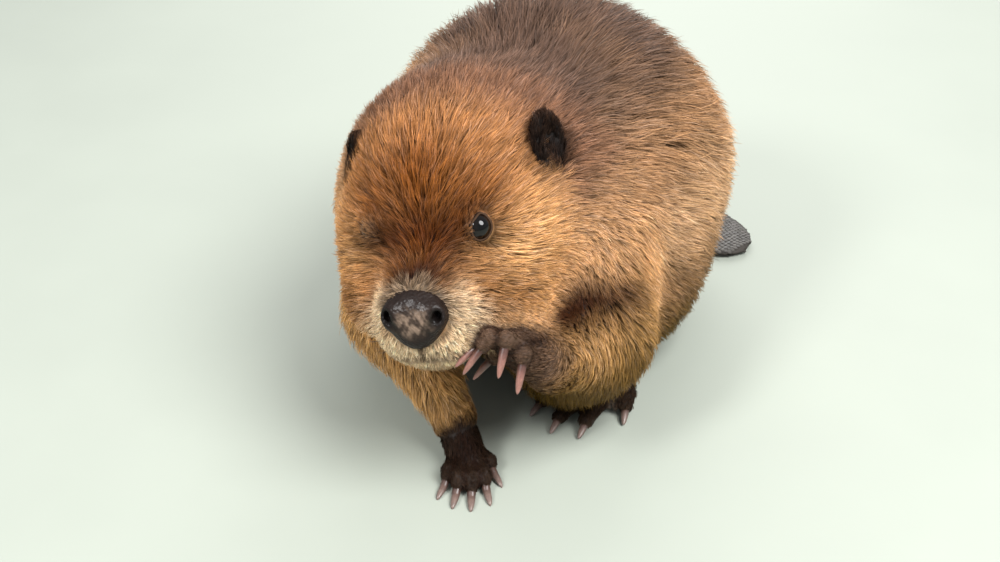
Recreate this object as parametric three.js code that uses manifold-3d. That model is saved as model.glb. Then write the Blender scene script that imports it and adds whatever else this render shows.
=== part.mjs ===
// A beaver kit, hunched and nibbling: a still, life-size model.
//
// Millimetres, +Z up. The beaver faces -Y and its left side is towards +X. Every solid
// reaches out to the tips of the coat, so the coat itself is part of the outline.
// The origin is on the floor, under the middle of the animal's box.

import * as THREE from 'three';
import { mergeVertices } from 'three/addons/utils/BufferGeometryUtils.js';
import Module from 'manifold-3d';

const wasm = await Module();
wasm.setup();

// ---------------------------------------------------------------- driving dimensions

const CELL = { trunk: 22, skull: 19, limb: 12, head: 11 };   // sizes of the facets
const GAP = 0.3;               // clearance between neighbouring pieces
const FILLET = 22;             // width over which the limbs run into the trunk

const EYE_RADIUS = 6.2;        // the ball, most of it behind the lids
const EAR = { width: 19, thickness: 8, cup: [5, 5, 8] };
const NOSE = { width: 28, height: 27, depth: 16, nostril: [2.4, 3, 2] };
const WRIST_RADIUS = 9.5;
const PALM_RADIUS = 8;
const FINGER = { root: 4.2, tip: 3.1 };   // radii
const HEEL_RADIUS = 12;
const SOLE_RADIUS = 15;
const FOOT_FLATNESS = 0.62;
const TOE = { root: 5, tip: 3.8 };        // radii
const WEB_THICKNESS = 2.2;
const CLAW = { fore: 14, hind: 12, radius: 2, rooted: 4 };
const TAIL = { width: 50, root: 11, tip: 6 };   // thick at the root, thinner at the tip

// The head sits low and a little towards the beaver's right, tilted right side down.
const HEAD = { place: [-6, -80, 113], turn: 8, nod: 7, tilt: -9 };

const vec = (x, y, z) => new THREE.Vector3(x, y, z);
const plus = (a, b) => a.map((value, axis) => value + b[axis]);
const degrees = (angle) => THREE.MathUtils.degToRad(angle);

// ---------------------------------------------------------------- frames

// A frame is a matrix: forward is -Y, left is +X, up is +Z, as on the whole animal.
function frame({ place, turn = 0, nod = 0, tilt = 0 }) {
  const angles = new THREE.Euler(degrees(nod), degrees(tilt), degrees(turn), 'ZXY');
  return new THREE.Matrix4().makeRotationFromEuler(angles).setPosition(...place);
}

const head = frame(HEAD);

// ---------------------------------------------------------------- soft forms

// A soft form gives the distance from a point to its surface, negative inside.

function ellipsoid(centre, radii, matrix = new THREE.Matrix4()) {
  const inverse = matrix.clone().invert();
  const local = vec(0, 0, 0);
  return (point) => {
    local.copy(point).applyMatrix4(inverse);
    const x = (local.x - centre[0]) / radii[0];
    const y = (local.y - centre[1]) / radii[1];
    const z = (local.z - centre[2]) / radii[2];
    const length = Math.hypot(x, y, z);
    const slope = Math.hypot(x / radii[0], y / radii[1], z / radii[2]);
    return slope > 0 ? (length * (length - 1)) / slope : -Math.min(...radii);
  };
}

// A limb runs from a to b, and its radius goes from ra to rb.
function limb(a, b, ra, rb, matrix = new THREE.Matrix4()) {
  const start = vec(...a).applyMatrix4(matrix);
  const along = vec(...b).applyMatrix4(matrix).sub(start);
  const offset = vec(0, 0, 0);
  return (point) => {
    offset.copy(point).sub(start);
    const t = THREE.MathUtils.clamp(offset.dot(along) / along.lengthSq(), 0, 1);
    return offset.addScaledVector(along, -t).length() - THREE.MathUtils.lerp(ra, rb, t);
  };
}

// Forms run into each other over a fillet of the width given.
function blend(width, ...forms) {
  return (point) => forms.map((form) => form(point)).reduce((a, b) => {
    const overlap = Math.max(width - Math.abs(a - b), 0) / width;
    return Math.min(a, b) - (overlap * overlap * width) / 4;
  });
}

// ---------------------------------------------------------------- facets

// Surface nets: one vertex in each cell that the surface crosses, pulled onto the surface.
// With grow, the same facets stand that much further out.
function facets(form, low, high, cell, grow = 0) {
  const count = [0, 1, 2].map((axis) => Math.ceil((high[axis] - low[axis]) / cell) + 1);
  const index = (i, j, k) => (k * count[1] + j) * count[0] + i;
  const corner = (i, j, k) => vec(low[0] + i * cell, low[1] + j * cell, low[2] + k * cell);
  const value = new Float64Array(count[0] * count[1] * count[2]);
  for (let k = 0; k < count[2]; k += 1) {
    for (let j = 0; j < count[1]; j += 1) {
      for (let i = 0; i < count[0]; i += 1) {
        const inner = [i, j, k].every((n, axis) => n > 0 && n < count[axis] - 1);
        const distance = form(corner(i, j, k));
        value[index(i, j, k)] = inner ? distance : Math.max(distance, cell / 2);
      }
    }
  }

  const edges = [];
  for (let a = 0; a < 8; a += 1) {
    for (const bit of [1, 2, 4]) if (!(a & bit)) edges.push([a, a | bit]);
  }
  const positions = [];
  const vertexOf = new Map();
  for (let k = 0; k < count[2] - 1; k += 1) {
    for (let j = 0; j < count[1] - 1; j += 1) {
      for (let i = 0; i < count[0] - 1; i += 1) {
        const at = (c) => [i + (c & 1), j + ((c >> 1) & 1), k + ((c >> 2) & 1)];
        const sum = vec(0, 0, 0);
        let crossings = 0;
        for (const [a, b] of edges) {
          const va = value[index(...at(a))];
          const vb = value[index(...at(b))];
          if ((va < 0) === (vb < 0)) continue;
          sum.add(corner(...at(a)).lerp(corner(...at(b)), va / (va - vb)));
          crossings += 1;
        }
        if (!crossings) continue;
        vertexOf.set(index(i, j, k), positions.length);
        const onSurface = ontoSurface(form, sum.divideScalar(crossings), cell);
        positions.push(onSurface.addScaledVector(slopeOf(form, onSurface).normalize(), grow));
      }
    }
  }

  const triangles = [];
  const quad = (a, b, c, d) => {
    const [p, q, r, s] = [a, b, c, d].map((v) => positions[v]);
    if (p.distanceTo(r) < q.distanceTo(s)) triangles.push(a, b, c, a, c, d);
    else triangles.push(b, c, d, b, d, a);
  };
  for (let k = 0; k < count[2] - 1; k += 1) {
    for (let j = 0; j < count[1] - 1; j += 1) {
      for (let i = 0; i < count[0] - 1; i += 1) {
        const here = value[index(i, j, k)] < 0;
        for (let axis = 0; axis < 3; axis += 1) {
          const step = [0, 0, 0];
          step[axis] = 1;
          if ((value[index(i + step[0], j + step[1], k + step[2])] < 0) === here) continue;
          const u = [0, 0, 0];
          const v = [0, 0, 0];
          u[(axis + 1) % 3] = 1;
          v[(axis + 2) % 3] = 1;
          const around = [[1, 1], [0, 1], [0, 0], [1, 0]].map(([m, n]) => vertexOf.get(
            index(i - m * u[0] - n * v[0], j - m * u[1] - n * v[1], k - m * u[2] - n * v[2]),
          ));
          if (here) quad(...around);
          else quad(...around.reverse());
        }
      }
    }
  }
  return triangleMesh(positions, triangles);
}

function slopeOf(form, point) {
  const step = 0.05;
  const value = form(point);
  return vec(
    form(vec(point.x + step, point.y, point.z)) - value,
    form(vec(point.x, point.y + step, point.z)) - value,
    form(vec(point.x, point.y, point.z + step)) - value,
  ).divideScalar(step);
}

function ontoSurface(form, start, cell) {
  const point = start.clone();
  for (let round = 0; round < 3; round += 1) {
    const slope = slopeOf(form, point);
    point.addScaledVector(slope, -form(point) / Math.max(slope.lengthSq(), 0.2));
  }
  return point.sub(start).clampLength(0, 0.4 * cell).add(start);
}

function triangleMesh(points, triangles) {
  const geometry = new THREE.BufferGeometry().setFromPoints(points);
  geometry.setIndex(triangles);
  return geometry;
}

// ---------------------------------------------------------------- swept pieces

// A piece swept along a path, closed to a point at each end. half(t) gives its half width
// and half thickness, and up is the side that the thickness is measured on.
function swept(path, half, up, sides, steps) {
  const points = [path(0)];
  const triangles = [];
  for (let s = 1; s < steps; s += 1) {
    const t = s / steps;
    const along = path(Math.min(t + 0.01, 1)).sub(path(Math.max(t - 0.01, 0))).normalize();
    const side = along.clone().cross(up).normalize();
    const lift = side.clone().cross(along);
    const [width, thickness] = half(t);
    for (let i = 0; i < sides; i += 1) {
      const angle = (i / sides) * 2 * Math.PI;
      points.push(path(t)
        .addScaledVector(side, width * Math.cos(angle))
        .addScaledVector(lift, thickness * Math.sin(angle)));
    }
  }
  points.push(path(1));
  const ring = (s, i) => 1 + (s - 1) * sides + (i % sides);
  for (let i = 0; i < sides; i += 1) {
    triangles.push(0, ring(1, i), ring(1, i + 1));
    for (let s = 1; s < steps - 1; s += 1) {
      triangles.push(ring(s, i), ring(s + 1, i), ring(s + 1, i + 1));
      triangles.push(ring(s, i), ring(s + 1, i + 1), ring(s, i + 1));
    }
    triangles.push(ring(steps - 1, i), points.length - 1, ring(steps - 1, i + 1));
  }
  return triangleMesh(points, triangles);
}

// Steps bunch towards both ends, so that a rounded end needs few of them.
const eased = (t) => (1 - Math.cos(Math.PI * t)) / 2;
const rounded = (t) => Math.sqrt(Math.max(1 - (2 * t - 1) ** 2, 0));

function curve(...points) {
  const line = new THREE.CatmullRomCurve3(points.map((p) => vec(...p)));
  return (t) => line.getPoint(t);
}

// A finger, toe or shank: a tube that tapers from ra to rb with rounded ends.
function tube(points, ra, rb, sides = 8, steps = 6, flatness = 1) {
  const line = new THREE.CatmullRomCurve3(points.map((p) => vec(...p)));
  const reach = line.getLength();
  const radius = (t) => {
    const full = THREE.MathUtils.lerp(ra, rb, t);
    const fromEnd = Math.min((t * reach) / ra, ((1 - t) * reach) / rb, 1);
    return full * Math.sqrt(1 - (1 - fromEnd) ** 2);
  };
  return swept(
    (t) => line.getPoint(eased(t)),
    (t) => [radius(eased(t)), radius(eased(t)) * flatness],
    vec(0, 0, 1),
    sides,
    steps,
  );
}

// ---------------------------------------------------------------- solids

function solid(geometry) {
  const bare = new THREE.BufferGeometry();
  bare.setAttribute('position', geometry.getAttribute('position'));
  bare.setIndex(geometry.index);
  const merged = mergeVertices(bare, 1e-4);
  return new wasm.Manifold(new wasm.Mesh({
    numProp: 3,
    vertProperties: Float32Array.from(merged.attributes.position.array),
    triVerts: Uint32Array.from(merged.index.array),
  }));
}

const join = (...solids) => solids.reduce((a, b) => a.add(b));

function box(low, high) {
  const size = [0, 1, 2].map((axis) => high[axis] - low[axis]);
  const middle = [0, 1, 2].map((axis) => (high[axis] + low[axis]) / 2);
  return solid(new THREE.BoxGeometry(...size).translate(...middle));
}

function ball(centre, radii, matrix = new THREE.Matrix4(), detail = 12) {
  const geometry = new THREE.SphereGeometry(1, detail, Math.round(detail * 0.7));
  return solid(geometry.scale(...radii).translate(...centre).applyMatrix4(matrix));
}

// The largest body of a solid, without slivers that a cut may leave.
function mainBody(whole) {
  return whole.decompose().sort((a, b) => b.volume() - a.volume())[0];
}

function meshOf(name, whole, material) {
  const { vertProperties, triVerts } = mainBody(whole).getMesh();
  const geometry = new THREE.BufferGeometry();
  geometry.setAttribute('position', new THREE.BufferAttribute(vertProperties, 3));
  geometry.setIndex(new THREE.BufferAttribute(triVerts, 1));
  geometry.computeVertexNormals();
  const mesh = new THREE.Mesh(geometry, material);
  mesh.name = name;
  return mesh;
}

// ---------------------------------------------------------------- materials

const finish = (color, roughness) => new THREE.MeshStandardMaterial({ color, roughness });
const coat = finish(0x8a5a34, 0.9);
const darkCoat = finish(0x241a16, 0.9);
const leather = finish(0x33302f, 0.45);
const eyeball = finish(0x0d0a0a, 0.08);
const scales = finish(0x474340, 0.6);
const pawSkin = finish(0x5b4540, 0.7);
const horn = finish(0x7a5a58, 0.4);

// ---------------------------------------------------------------- the furred body

const side = { left: 1, right: -1 };
const bothSides = Object.keys(side);

const headForm = blend(
  12,
  ellipsoid([0, 14, 3], [45, 45, 42], head),
  ellipsoid([25, 0, -14], [27, 35, 31], head),
  ellipsoid([-25, 0, -14], [27, 35, 31], head),
  limb([0, -12, -4], [0, -42, -14], 26, 18, head),
  ellipsoid([0, -48, -13], [15, 11, 15], head),
  ellipsoid([9, -47, -27], [14, 14.5, 15], head),
  ellipsoid([-9, -47, -27], [14, 14.5, 15], head),
  limb([0, -10, -28], [0, -42, -38], 24, 12, head),
);

const neckForm = ellipsoid([-8, -38, 100], [64, 36, 57]);

const trunkForm = blend(
  34,
  ellipsoid([1, -20, 88], [72, 60, 68]),
  ellipsoid([5, 44, 84], [89, 78, 83]),
  ellipsoid([8, 84, 64], [80, 56, 58]),
);

// The long fur of the belly comes down between the feet, and spills over the left one.
const bellyForm = blend(
  22,
  ellipsoid([8, -14, 38], [60, 44, 38]),
  ellipsoid([45, -50, 36], [31, 34, 34]),
);

const thighForms = {
  left: ellipsoid([61, 14, 46], [34, 56, 40]),
  right: ellipsoid([-54, 14, 46], [34, 56, 40]),
};

const forelegForms = {
  left: blend(14, limb([50, -40, 84], [64, -68, 54], 30, 23),
    limb([64, -68, 54], [54, -108, 64], 22, 13)),
  right: blend(14, limb([-42, -42, 78], [-36, -70, 46], 28, 24),
    limb([-36, -70, 46], [6, -103, 18], 23, 11)),
};

const tailRootForm = limb([0, 100, 44], [18, 138, 19], 34, 19);

const bodyForm = blend(
  FILLET,
  headForm,
  neckForm,
  trunkForm,
  bellyForm,
  thighForms.left,
  thighForms.right,
  forelegForms.left,
  forelegForms.right,
  tailRootForm,
);

// ---------------------------------------------------------------- eyes, ears and nose

const EYE_CENTRE = [22.3, -24, 8.7];

const eye = (which, grow = 0) => ball(
  [side[which] * EYE_CENTRE[0], EYE_CENTRE[1], EYE_CENTRE[2]],
  Array(3).fill(EYE_RADIUS + grow),
  head,
  10,
);

// The ear is a small round cup that leans back against the fur of the head. The right one
// is pressed further down into it.
const EAR_PRESSED = { left: [0, 0, 0], right: [3, 1, -8] };

function ear(which, grow = 0) {
  const s = side[which];
  const line = curve([s * 47.5, 13, 8], [s * 49.5, 16, 21], [s * 43.5, 26, 34]);
  const pressed = vec(...EAR_PRESSED[which]);
  const shape = solid(swept(
    (t) => line(eased(t)).add(pressed).applyMatrix4(head),
    (t) => [EAR.width, EAR.thickness].map((size) => rounded(eased(t)) * size / 2 + grow),
    vec(s * 0.85, -0.45, 0.3).transformDirection(head),
    9,
    6,
  ));
  if (grow) return shape;
  return shape.subtract(ball(plus([s * 56, 11, 22.5], EAR_PRESSED[which]), EAR.cup, head, 7));
}

// The bare pad faces forward and up; its nostrils open to the sides.
const PAD_FRAME = head.clone().multiply(frame({ place: [0, -57.6, -12], nod: -29 }));

function nose(grow = 0) {
  const size = [NOSE.width / 2 + grow, NOSE.depth / 2 + grow, NOSE.height / 2 + grow];
  const pad = ball([0, 0, 0], size, PAD_FRAME, 11);
  if (grow) return pad;
  return bothSides.reduce(
    (left, which) => left.subtract(ball([side[which] * 9.5, -7, -1.5], NOSE.nostril, PAD_FRAME, 6)),
    pad,
  );
}

// ---------------------------------------------------------------- paws and feet

// Each digit is [root, knuckle, tip]; its claw goes on from the tip along the last stretch.
const LEFT_FOREPAW = {
  wrist: [57, -106, 61],
  palm: [43, -118, 76],
  digits: [
    [[40, -114, 72], [31, -114, 72], [27, -118, 67]],
    [[38, -119, 79], [30, -124, 82], [25, -130, 79]],
    [[39, -121, 79], [32, -127.5, 83], [27.5, -133, 79.5]],
    [[41, -123, 77], [36, -130, 79], [33, -134.5, 75.5]],
    [[45, -121, 73], [41, -128, 75.5], [38.5, -131.5, 72]],
  ],
};

const RIGHT_FOREPAW = {
  wrist: [5, -101, 17],
  palm: [17, -114, 6.4],
  digits: [
    [[19, -110, 6], [26, -111, 4.5], [29, -114, 2.9]],
    [[21, -116, 6], [28, -122, 5.5], [31, -127, 2.9]],
    [[19, -119, 6], [24, -127, 6], [26, -133, 2.9]],
    [[16, -119, 6], [18, -128, 6], [19, -134, 2.9]],
    [[13, -117, 6], [12, -125, 5.5], [12, -130, 2.9]],
  ],
};

const HIND_FOOT = {
  heel: [60, 30, 7],
  sole: [55, -28, 7],
  digits: [
    [[42, -18, 7], [30, -36, 5.5], [24, -46, 3.5]],
    [[47, -26, 7], [38, -50, 6], [34, -62, 3.5]],
    [[53, -30, 7], [48, -57, 6], [46, -71, 3.5]],
    [[60, -29, 7], [60, -56, 6], [59, -70, 3.5]],
    [[66, -22, 7], [72, -42, 5.5], [74, -53, 3.5]],
  ],
};

const beyond = (a, b, by) => vec(...b).sub(vec(...a)).setLength(by).add(vec(...b)).toArray();

// The right hind foot is the left one mirrored, and drawn in a little further back.
const RIGHT_FOOT_SHIFT = [8, 24, 0];
const toRight = (point) => plus([-point[0], point[1], point[2]], RIGHT_FOOT_SHIFT);
const RIGHT_HIND_FOOT = {
  heel: toRight(HIND_FOOT.heel),
  sole: toRight(HIND_FOOT.sole),
  digits: HIND_FOOT.digits.map((digit) => digit.map(toRight)),
};

function forepaw({ wrist, palm, digits }, grow = 0) {
  const knuckles = beyond(wrist, palm, 7);
  const back = tube([wrist, palm, knuckles], WRIST_RADIUS + grow, PALM_RADIUS + grow, 8, 5, 0.85);
  const fingers = digits.map((digit) => tube(digit, FINGER.root + grow, FINGER.tip + grow, 5, 4));
  return join(...[back, ...fingers].map(solid));
}

function metatarsus({ heel, sole }, grow = 0) {
  const instep = [heel[0], heel[1] - 30, 8];
  return solid(tube(
    [heel, instep, sole],
    HEEL_RADIUS + grow,
    SOLE_RADIUS + grow,
    7,
    5,
    FOOT_FLATNESS,
  ));
}

function hindFoot(foot) {
  const toes = foot.digits.map((digit) => solid(tube(digit, TOE.root, TOE.tip, 5, 4)));
  return join(metatarsus(foot), webbing(foot.digits), ...toes);
}

// A flat piece from its upper outline: a hub first, then the rim from its right to its left.
function fan(hub, rim, thickness) {
  const upper = [hub, ...(rim[0].x < rim.at(-1).x ? rim : rim.toReversed())];
  const points = [...upper, ...upper.map((p) => vec(p.x, p.y, p.z - thickness))];
  const n = upper.length;
  const triangles = [];
  for (let i = 1; i < n - 1; i += 1) triangles.push(0, i, i + 1, n, n + i + 1, n + i);
  for (let i = 0; i < n; i += 1) {
    const j = (i + 1) % n;
    triangles.push(i, n + i, n + j, i, n + j, j);
  }
  return solid(triangleMesh(points, triangles));
}

// The skin between the toes dips back a little between their tips.
function webbing(digits) {
  const tips = digits.map(([, knuckle, tip]) => vec(...knuckle).lerp(vec(...tip), 0.8));
  const rim = tips.flatMap((tip, i) => (i === 0 ? [tip]
    : [tips[i - 1].clone().lerp(tip, 0.5).add(vec(0, 5, 0)), tip]));
  return fan(vec(...digits[2][0]), rim, WEB_THICKNESS);
}

// The room that the coat leaves for a hind foot: a flat hollow that holds all its toes.
function footRoom(foot) {
  const roots = foot.digits.map(([root]) => root);
  const tips = foot.digits.map(([, , tip]) => tip);
  const hub = plus(roots[2], [0, 20, 0]);
  const aside = Math.sign(roots[4][0] - roots[0][0]) * 14;
  const over = ([x, y], [, , z]) => vec(x, y, z + TOE.root + 1.4);
  const rim = [
    over(plus(roots[0], [-aside, 6, 0]), hub),
    ...tips.map((tip) => over(beyond(hub, tip, 7), tip)),
    over(plus(roots[4], [aside, 6, 0]), hub),
  ];
  return join(metatarsus(foot, 1), fan(over(hub, hub), rim, 20));
}

// A claw starts inside the tip of its digit and curves down to a blunt point.
function claw([, knuckle, tip], length, grow = 0) {
  const root = beyond(knuckle, tip, -CLAW.rooted);
  const reach = beyond(knuckle, tip, length - CLAW.rooted);
  const line = curve(root, beyond(root, reach, -length * 0.5), plus(reach, [0, 0, -1]));
  const lowest = CLAW.radius * 0.8 + 0.1;
  return solid(swept(
    (t) => line(t).setZ(Math.max(line(t).z, lowest)),
    (t) => [1, 0.8].map((flat) => CLAW.radius * flat * Math.sqrt(Math.max(1 - t ** 1.6, 0))
      * Math.sqrt(Math.min(t / 0.15, 1)) + grow),
    vec(0, 0, 1),
    5,
    4,
  ));
}

// ---------------------------------------------------------------- tail

const tailLine = curve([9, 124, 17], [34, 141, 8.6], [64, 129, 3.8], [98, 112, 2.5]);

function tail(grow = 0) {
  const outline = (s) => TAIL.width / 2 * Math.min(0.55 + 1.1 * s, 1) * Math.sqrt(1 - s ** 6);
  return solid(swept(
    (t) => tailLine(eased(t)),
    (t) => {
      const s = eased(t);
      const closing = Math.sqrt(Math.min(s / 0.06, 1));
      const thickness = THREE.MathUtils.lerp(TAIL.root, TAIL.tip, s) / 2;
      return [outline(s) * closing + grow, thickness * closing * Math.sqrt(1 - s ** 12) + grow];
    },
    vec(0, 0, 1),
    10,
    11,
  ));
}

// ---------------------------------------------------------------- parting the body

const pieces = [];
const add = (name, shape, material) => pieces.push([name, shape, material]);

const ABOVE_FLOOR = box([-400, -400, 0], [400, 400, 400]);
const REACH = { low: [-140, -190, -30], high: [150, 220, 215] };

// The same body in facets of any size, so that a slim limb can be finer than the trunk.
const bodies = new Map();
function bodyIn(cell) {
  if (!bodies.has(cell)) {
    bodies.set(cell, solid(facets(bodyForm, REACH.low, REACH.high, cell)).intersect(ABOVE_FLOOR));
  }
  return bodies.get(cell);
}

// What the coat makes room for.
const spared = [tail(GAP)];
add('tail', tail().intersect(ABOVE_FLOOR), scales);

function addPaw(name, flesh, digits, length) {
  let pad = flesh.intersect(ABOVE_FLOOR);
  digits.forEach((digit, i) => {
    const room = claw(digit, length, GAP);
    pad = pad.subtract(room);
    spared.push(room);
    add(`claw_${name}_${i + 1}`, claw(digit, length), horn);
  });
  add(name, pad, pawSkin);
}

for (const [which, paw] of [['left', LEFT_FOREPAW], ['right', RIGHT_FOREPAW]]) {
  addPaw(`forepaw_${which}`, forepaw(paw), paw.digits, CLAW.fore);
  spared.push(forepaw(paw, GAP));
}
for (const [which, foot] of [['left', HIND_FOOT], ['right', RIGHT_HIND_FOOT]]) {
  addPaw(`hind_foot_${which}`, hindFoot(foot), foot.digits, CLAW.hind);
  spared.push(footRoom(foot));
}

// The head is what lies ahead of the nape; the jaw is parted from it along the mouth.
const NAPE = 40;
const nearSkull = (point) => headForm(point) - 5;
const skullRegion = (grow) => solid(facets(nearSkull, REACH.low, REACH.high, CELL.skull, grow * 1.2))
  .intersect(box([-120, -120, -90], [120, NAPE + grow, 120]).transform(head.elements));
const jawRegion = (grow) => box([-40, -90, -90], [40, -18 + grow, -39 + grow])
  .transform(head.elements);

let skull = bodyIn(CELL.head).intersect(skullRegion(0)).subtract(join(...spared));
for (const which of bothSides) {
  skull = skull.subtract(eye(which, GAP)).subtract(ear(which, GAP));
  add(`eye_${which}`, eye(which), eyeball);
  add(`ear_${which}`, ear(which), darkCoat);
  spared.push(ear(which, GAP));
}
skull = skull.subtract(nose(GAP));
add('nose', nose(), leather);
add('lower_jaw', skull.intersect(jawRegion(0)), coat);
add('head', skull.subtract(jawRegion(GAP)), coat);

let taken = join(...spared, skullRegion(GAP));
function part(name, cell, shape) {
  add(name, bodyIn(cell).intersect(shape(0)).subtract(taken), coat);
  taken = taken.add(shape(GAP));
}
const around = (points, ra, rb) => (grow) => solid(tube(points, ra + grow, rb + grow, 7, 4));
const about = (centre, radii) => (grow) => ball(centre, radii.map((r) => r + grow), undefined, 9);

part('foreleg_left', CELL.limb, around([[56, -30, 84], [72, -66, 52], [54, -116, 66]], 36, 22));
part('foreleg_right', CELL.limb, around([[-50, -34, 72], [-40, -74, 42], [12, -114, 12]], 34, 22));
part('thigh_left', CELL.trunk, about([80, 12, 40], [42, 56, 46]));
part('thigh_right', CELL.trunk, about([-72, 12, 40], [42, 56, 46]));
part('tail_root', CELL.limb, around([[2, 98, 34], [10, 124, 24], [26, 160, 12]], 34, 30));
part('neck', CELL.trunk, (grow) => box([-150, -150, 40], [150, -18 + grow, 260]));
add('trunk', bodyIn(CELL.trunk).subtract(taken), coat);

const beaver = new THREE.Group();
for (const [name, shape, material] of pieces) beaver.add(meshOf(name, shape, material));

const whole = new THREE.Box3().setFromObject(beaver);
const middle = whole.getCenter(vec(0, 0, 0));
beaver.position.set(-middle.x, -middle.y, -whole.min.z);
export default beaver;
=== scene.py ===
# %% [markdown]
# # A beaver kit as a still museum model
# The solids of the frame reach out to the tips of the coat. What a visitor sees is made
# here in three layers, as a taxidermist would: a skin on the body's form, set in from
# the solids by the depth of the fur, then the bare parts (eyes, nose pad, claws, tail
# scales), and last the coat itself, tuft by tuft.

# %% The frame
import math

import bpy
import numpy as np
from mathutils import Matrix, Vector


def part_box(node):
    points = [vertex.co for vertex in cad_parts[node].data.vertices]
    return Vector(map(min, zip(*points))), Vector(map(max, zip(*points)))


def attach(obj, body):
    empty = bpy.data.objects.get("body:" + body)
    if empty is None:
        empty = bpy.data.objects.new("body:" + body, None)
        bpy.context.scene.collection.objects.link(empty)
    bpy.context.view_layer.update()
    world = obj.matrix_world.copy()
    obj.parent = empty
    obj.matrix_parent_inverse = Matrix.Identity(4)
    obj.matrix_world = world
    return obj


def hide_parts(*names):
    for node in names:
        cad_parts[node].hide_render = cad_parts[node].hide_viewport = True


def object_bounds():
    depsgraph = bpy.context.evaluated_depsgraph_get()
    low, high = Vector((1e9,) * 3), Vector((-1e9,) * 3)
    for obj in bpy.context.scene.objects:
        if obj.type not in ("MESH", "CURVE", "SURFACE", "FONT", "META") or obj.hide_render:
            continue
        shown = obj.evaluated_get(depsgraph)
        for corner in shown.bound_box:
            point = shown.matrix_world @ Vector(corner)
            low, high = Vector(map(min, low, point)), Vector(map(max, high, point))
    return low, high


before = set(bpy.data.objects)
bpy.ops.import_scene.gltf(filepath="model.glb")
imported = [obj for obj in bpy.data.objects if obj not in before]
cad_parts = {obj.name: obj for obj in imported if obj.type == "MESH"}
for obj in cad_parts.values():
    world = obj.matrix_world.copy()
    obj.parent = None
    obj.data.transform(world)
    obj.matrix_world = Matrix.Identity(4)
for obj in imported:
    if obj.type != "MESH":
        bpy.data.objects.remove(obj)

cad_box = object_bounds()
size = cad_box[1] - cad_box[0]
print(f"{len(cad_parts)} CAD nodes, {size.x:.3f} x {size.y:.3f} x {size.z:.3f} m")

# %% [markdown]
# ## Units and places
# Lengths in this file are in millimetres, because that is how an animal is measured; one
# function turns them into Blender's metres at the end. The animal faces -Y and its left
# side is towards +X. The head has a frame of its own: it sits on the neck turned, nodded
# and tilted, so everything on the face is told in the head's own millimetres. A
# three-number place is easier to read there, and left and right differ only in sign.

# %% Frames
MM = 0.001
SIDE = {"left": 1, "right": -1}

def vec(*values):
    return np.array(values, float)

def turning(turn, nod, tilt):
    """A rotation matrix: turn about Z, then nod about X, then tilt about Y, in degrees."""
    def about(axis, angle):
        a, b = [i for i in range(3) if i != axis]
        c, s = math.cos(math.radians(angle)), math.sin(math.radians(angle))
        matrix = np.eye(3)
        matrix[a, a] = matrix[b, b] = c
        matrix[a, b], matrix[b, a] = (-s, s) if axis != 1 else (s, -s)
        return matrix
    return about(2, turn) @ about(0, nod) @ about(1, tilt)

class Frame:
    """A place and a rotation; out() takes its own coordinates to the body's."""
    def __init__(self, place, rotation, parent=None):
        self.rotation = parent.rotation @ rotation if parent else rotation
        self.place = parent.out(vec(*place)) if parent else vec(*place)

    def out(self, points):
        return points @ self.rotation.T + self.place

    def into(self, points):
        return (points - self.place) @ self.rotation

def middle(node):
    low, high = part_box(node)
    return np.array((low + high) / 2) / MM

# Both eyes are balls, so the line between their middles fixes where the head is.
EYE = vec(22.3, -24, 8.7)   # the middle of the left one, in the head's frame
HEAD_TURN = turning(8, 7, -9)
between_eyes = (middle("eye_left") + middle("eye_right")) / 2
head = Frame(between_eyes - HEAD_TURN @ (EYE * [0, 1, 1]), HEAD_TURN)
BODY = head.place - vec(-6, -80, 113)   # the point on the floor that body places start from
print("head frame at", head.place.round(1), "body places from", BODY.round(1))

# %% [markdown]
# ## Soft forms
# An animal has no flat or straight part, so its body is built from rounded masses that
# run into each other, as a modeller presses lumps of clay together. Metaballs could do
# that too, but written as plain distance functions the same forms answer three more
# questions later: how deep the coat is at a point, which way is out, and where a tuft has
# to end. A negative distance is inside.

# %% Distance functions
def ellipsoid(centre, radii, home=None):
    """Distance to an egg shape; its centre is told from BODY, or in the frame of home."""
    centre, radii = vec(*centre), vec(*radii)
    def distance(points):
        local = (home.into(points) if home else points - BODY) - centre
        scaled = local / radii
        length = np.linalg.norm(scaled, axis=-1)
        slope = np.linalg.norm(scaled / radii, axis=-1)
        return length * (length - 1) / np.maximum(slope, 1e-9)
    return distance

def limb(a, b, ra, rb, home=None):
    """Distance to a round-ended cone from a to b, with radius ra at a and rb at b."""
    a, b = vec(*a), vec(*b)
    along = b - a
    def distance(points):
        offset = (home.into(points) if home else points - BODY) - a
        t = np.clip(offset @ along / (along @ along), 0, 1)
        return np.linalg.norm(offset - t[..., None] * along, axis=-1) - (ra + (rb - ra) * t)
    return distance

def meld(width, *values):
    """The smooth least of several distances: they meet in a fillet of that width."""
    total = values[0]
    for value in values[1:]:
        overlap = np.maximum(width - np.abs(total - value), 0) / width
        total = np.minimum(total, value) - overlap ** 2 * width / 4
    return total

def blend(width, *forms):
    """One form made of several, joined by fillets of that width."""
    return lambda points: meld(width, *(form(points) for form in forms))

def ramp(value, start, full):
    """0 as far as start, 1 from full on, smooth between; full may be below start."""
    t = np.clip((value - start) / (full - start), 0, 1)
    return t * t * (3 - 2 * t)

# %% [markdown]
# ## The masses of the body
# These are the masses that the solids were cut from, so the coat ends where the solids
# end: skull, cheeks and muzzle, neck, chest and rump, belly, thighs and arms. Each is an
# egg or a limb, as a modeller would set the big lumps first, and those of one part are
# blended before the parts are, because the folds between parts are deeper.

# %% The masses of the head, out to the tips of the coat
def pair(centre, radii):
    """The same egg on the left and on the right of the head."""
    return [ellipsoid(vec(s, 1, 1) * centre, radii, head) for s in SIDE.values()]

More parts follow.
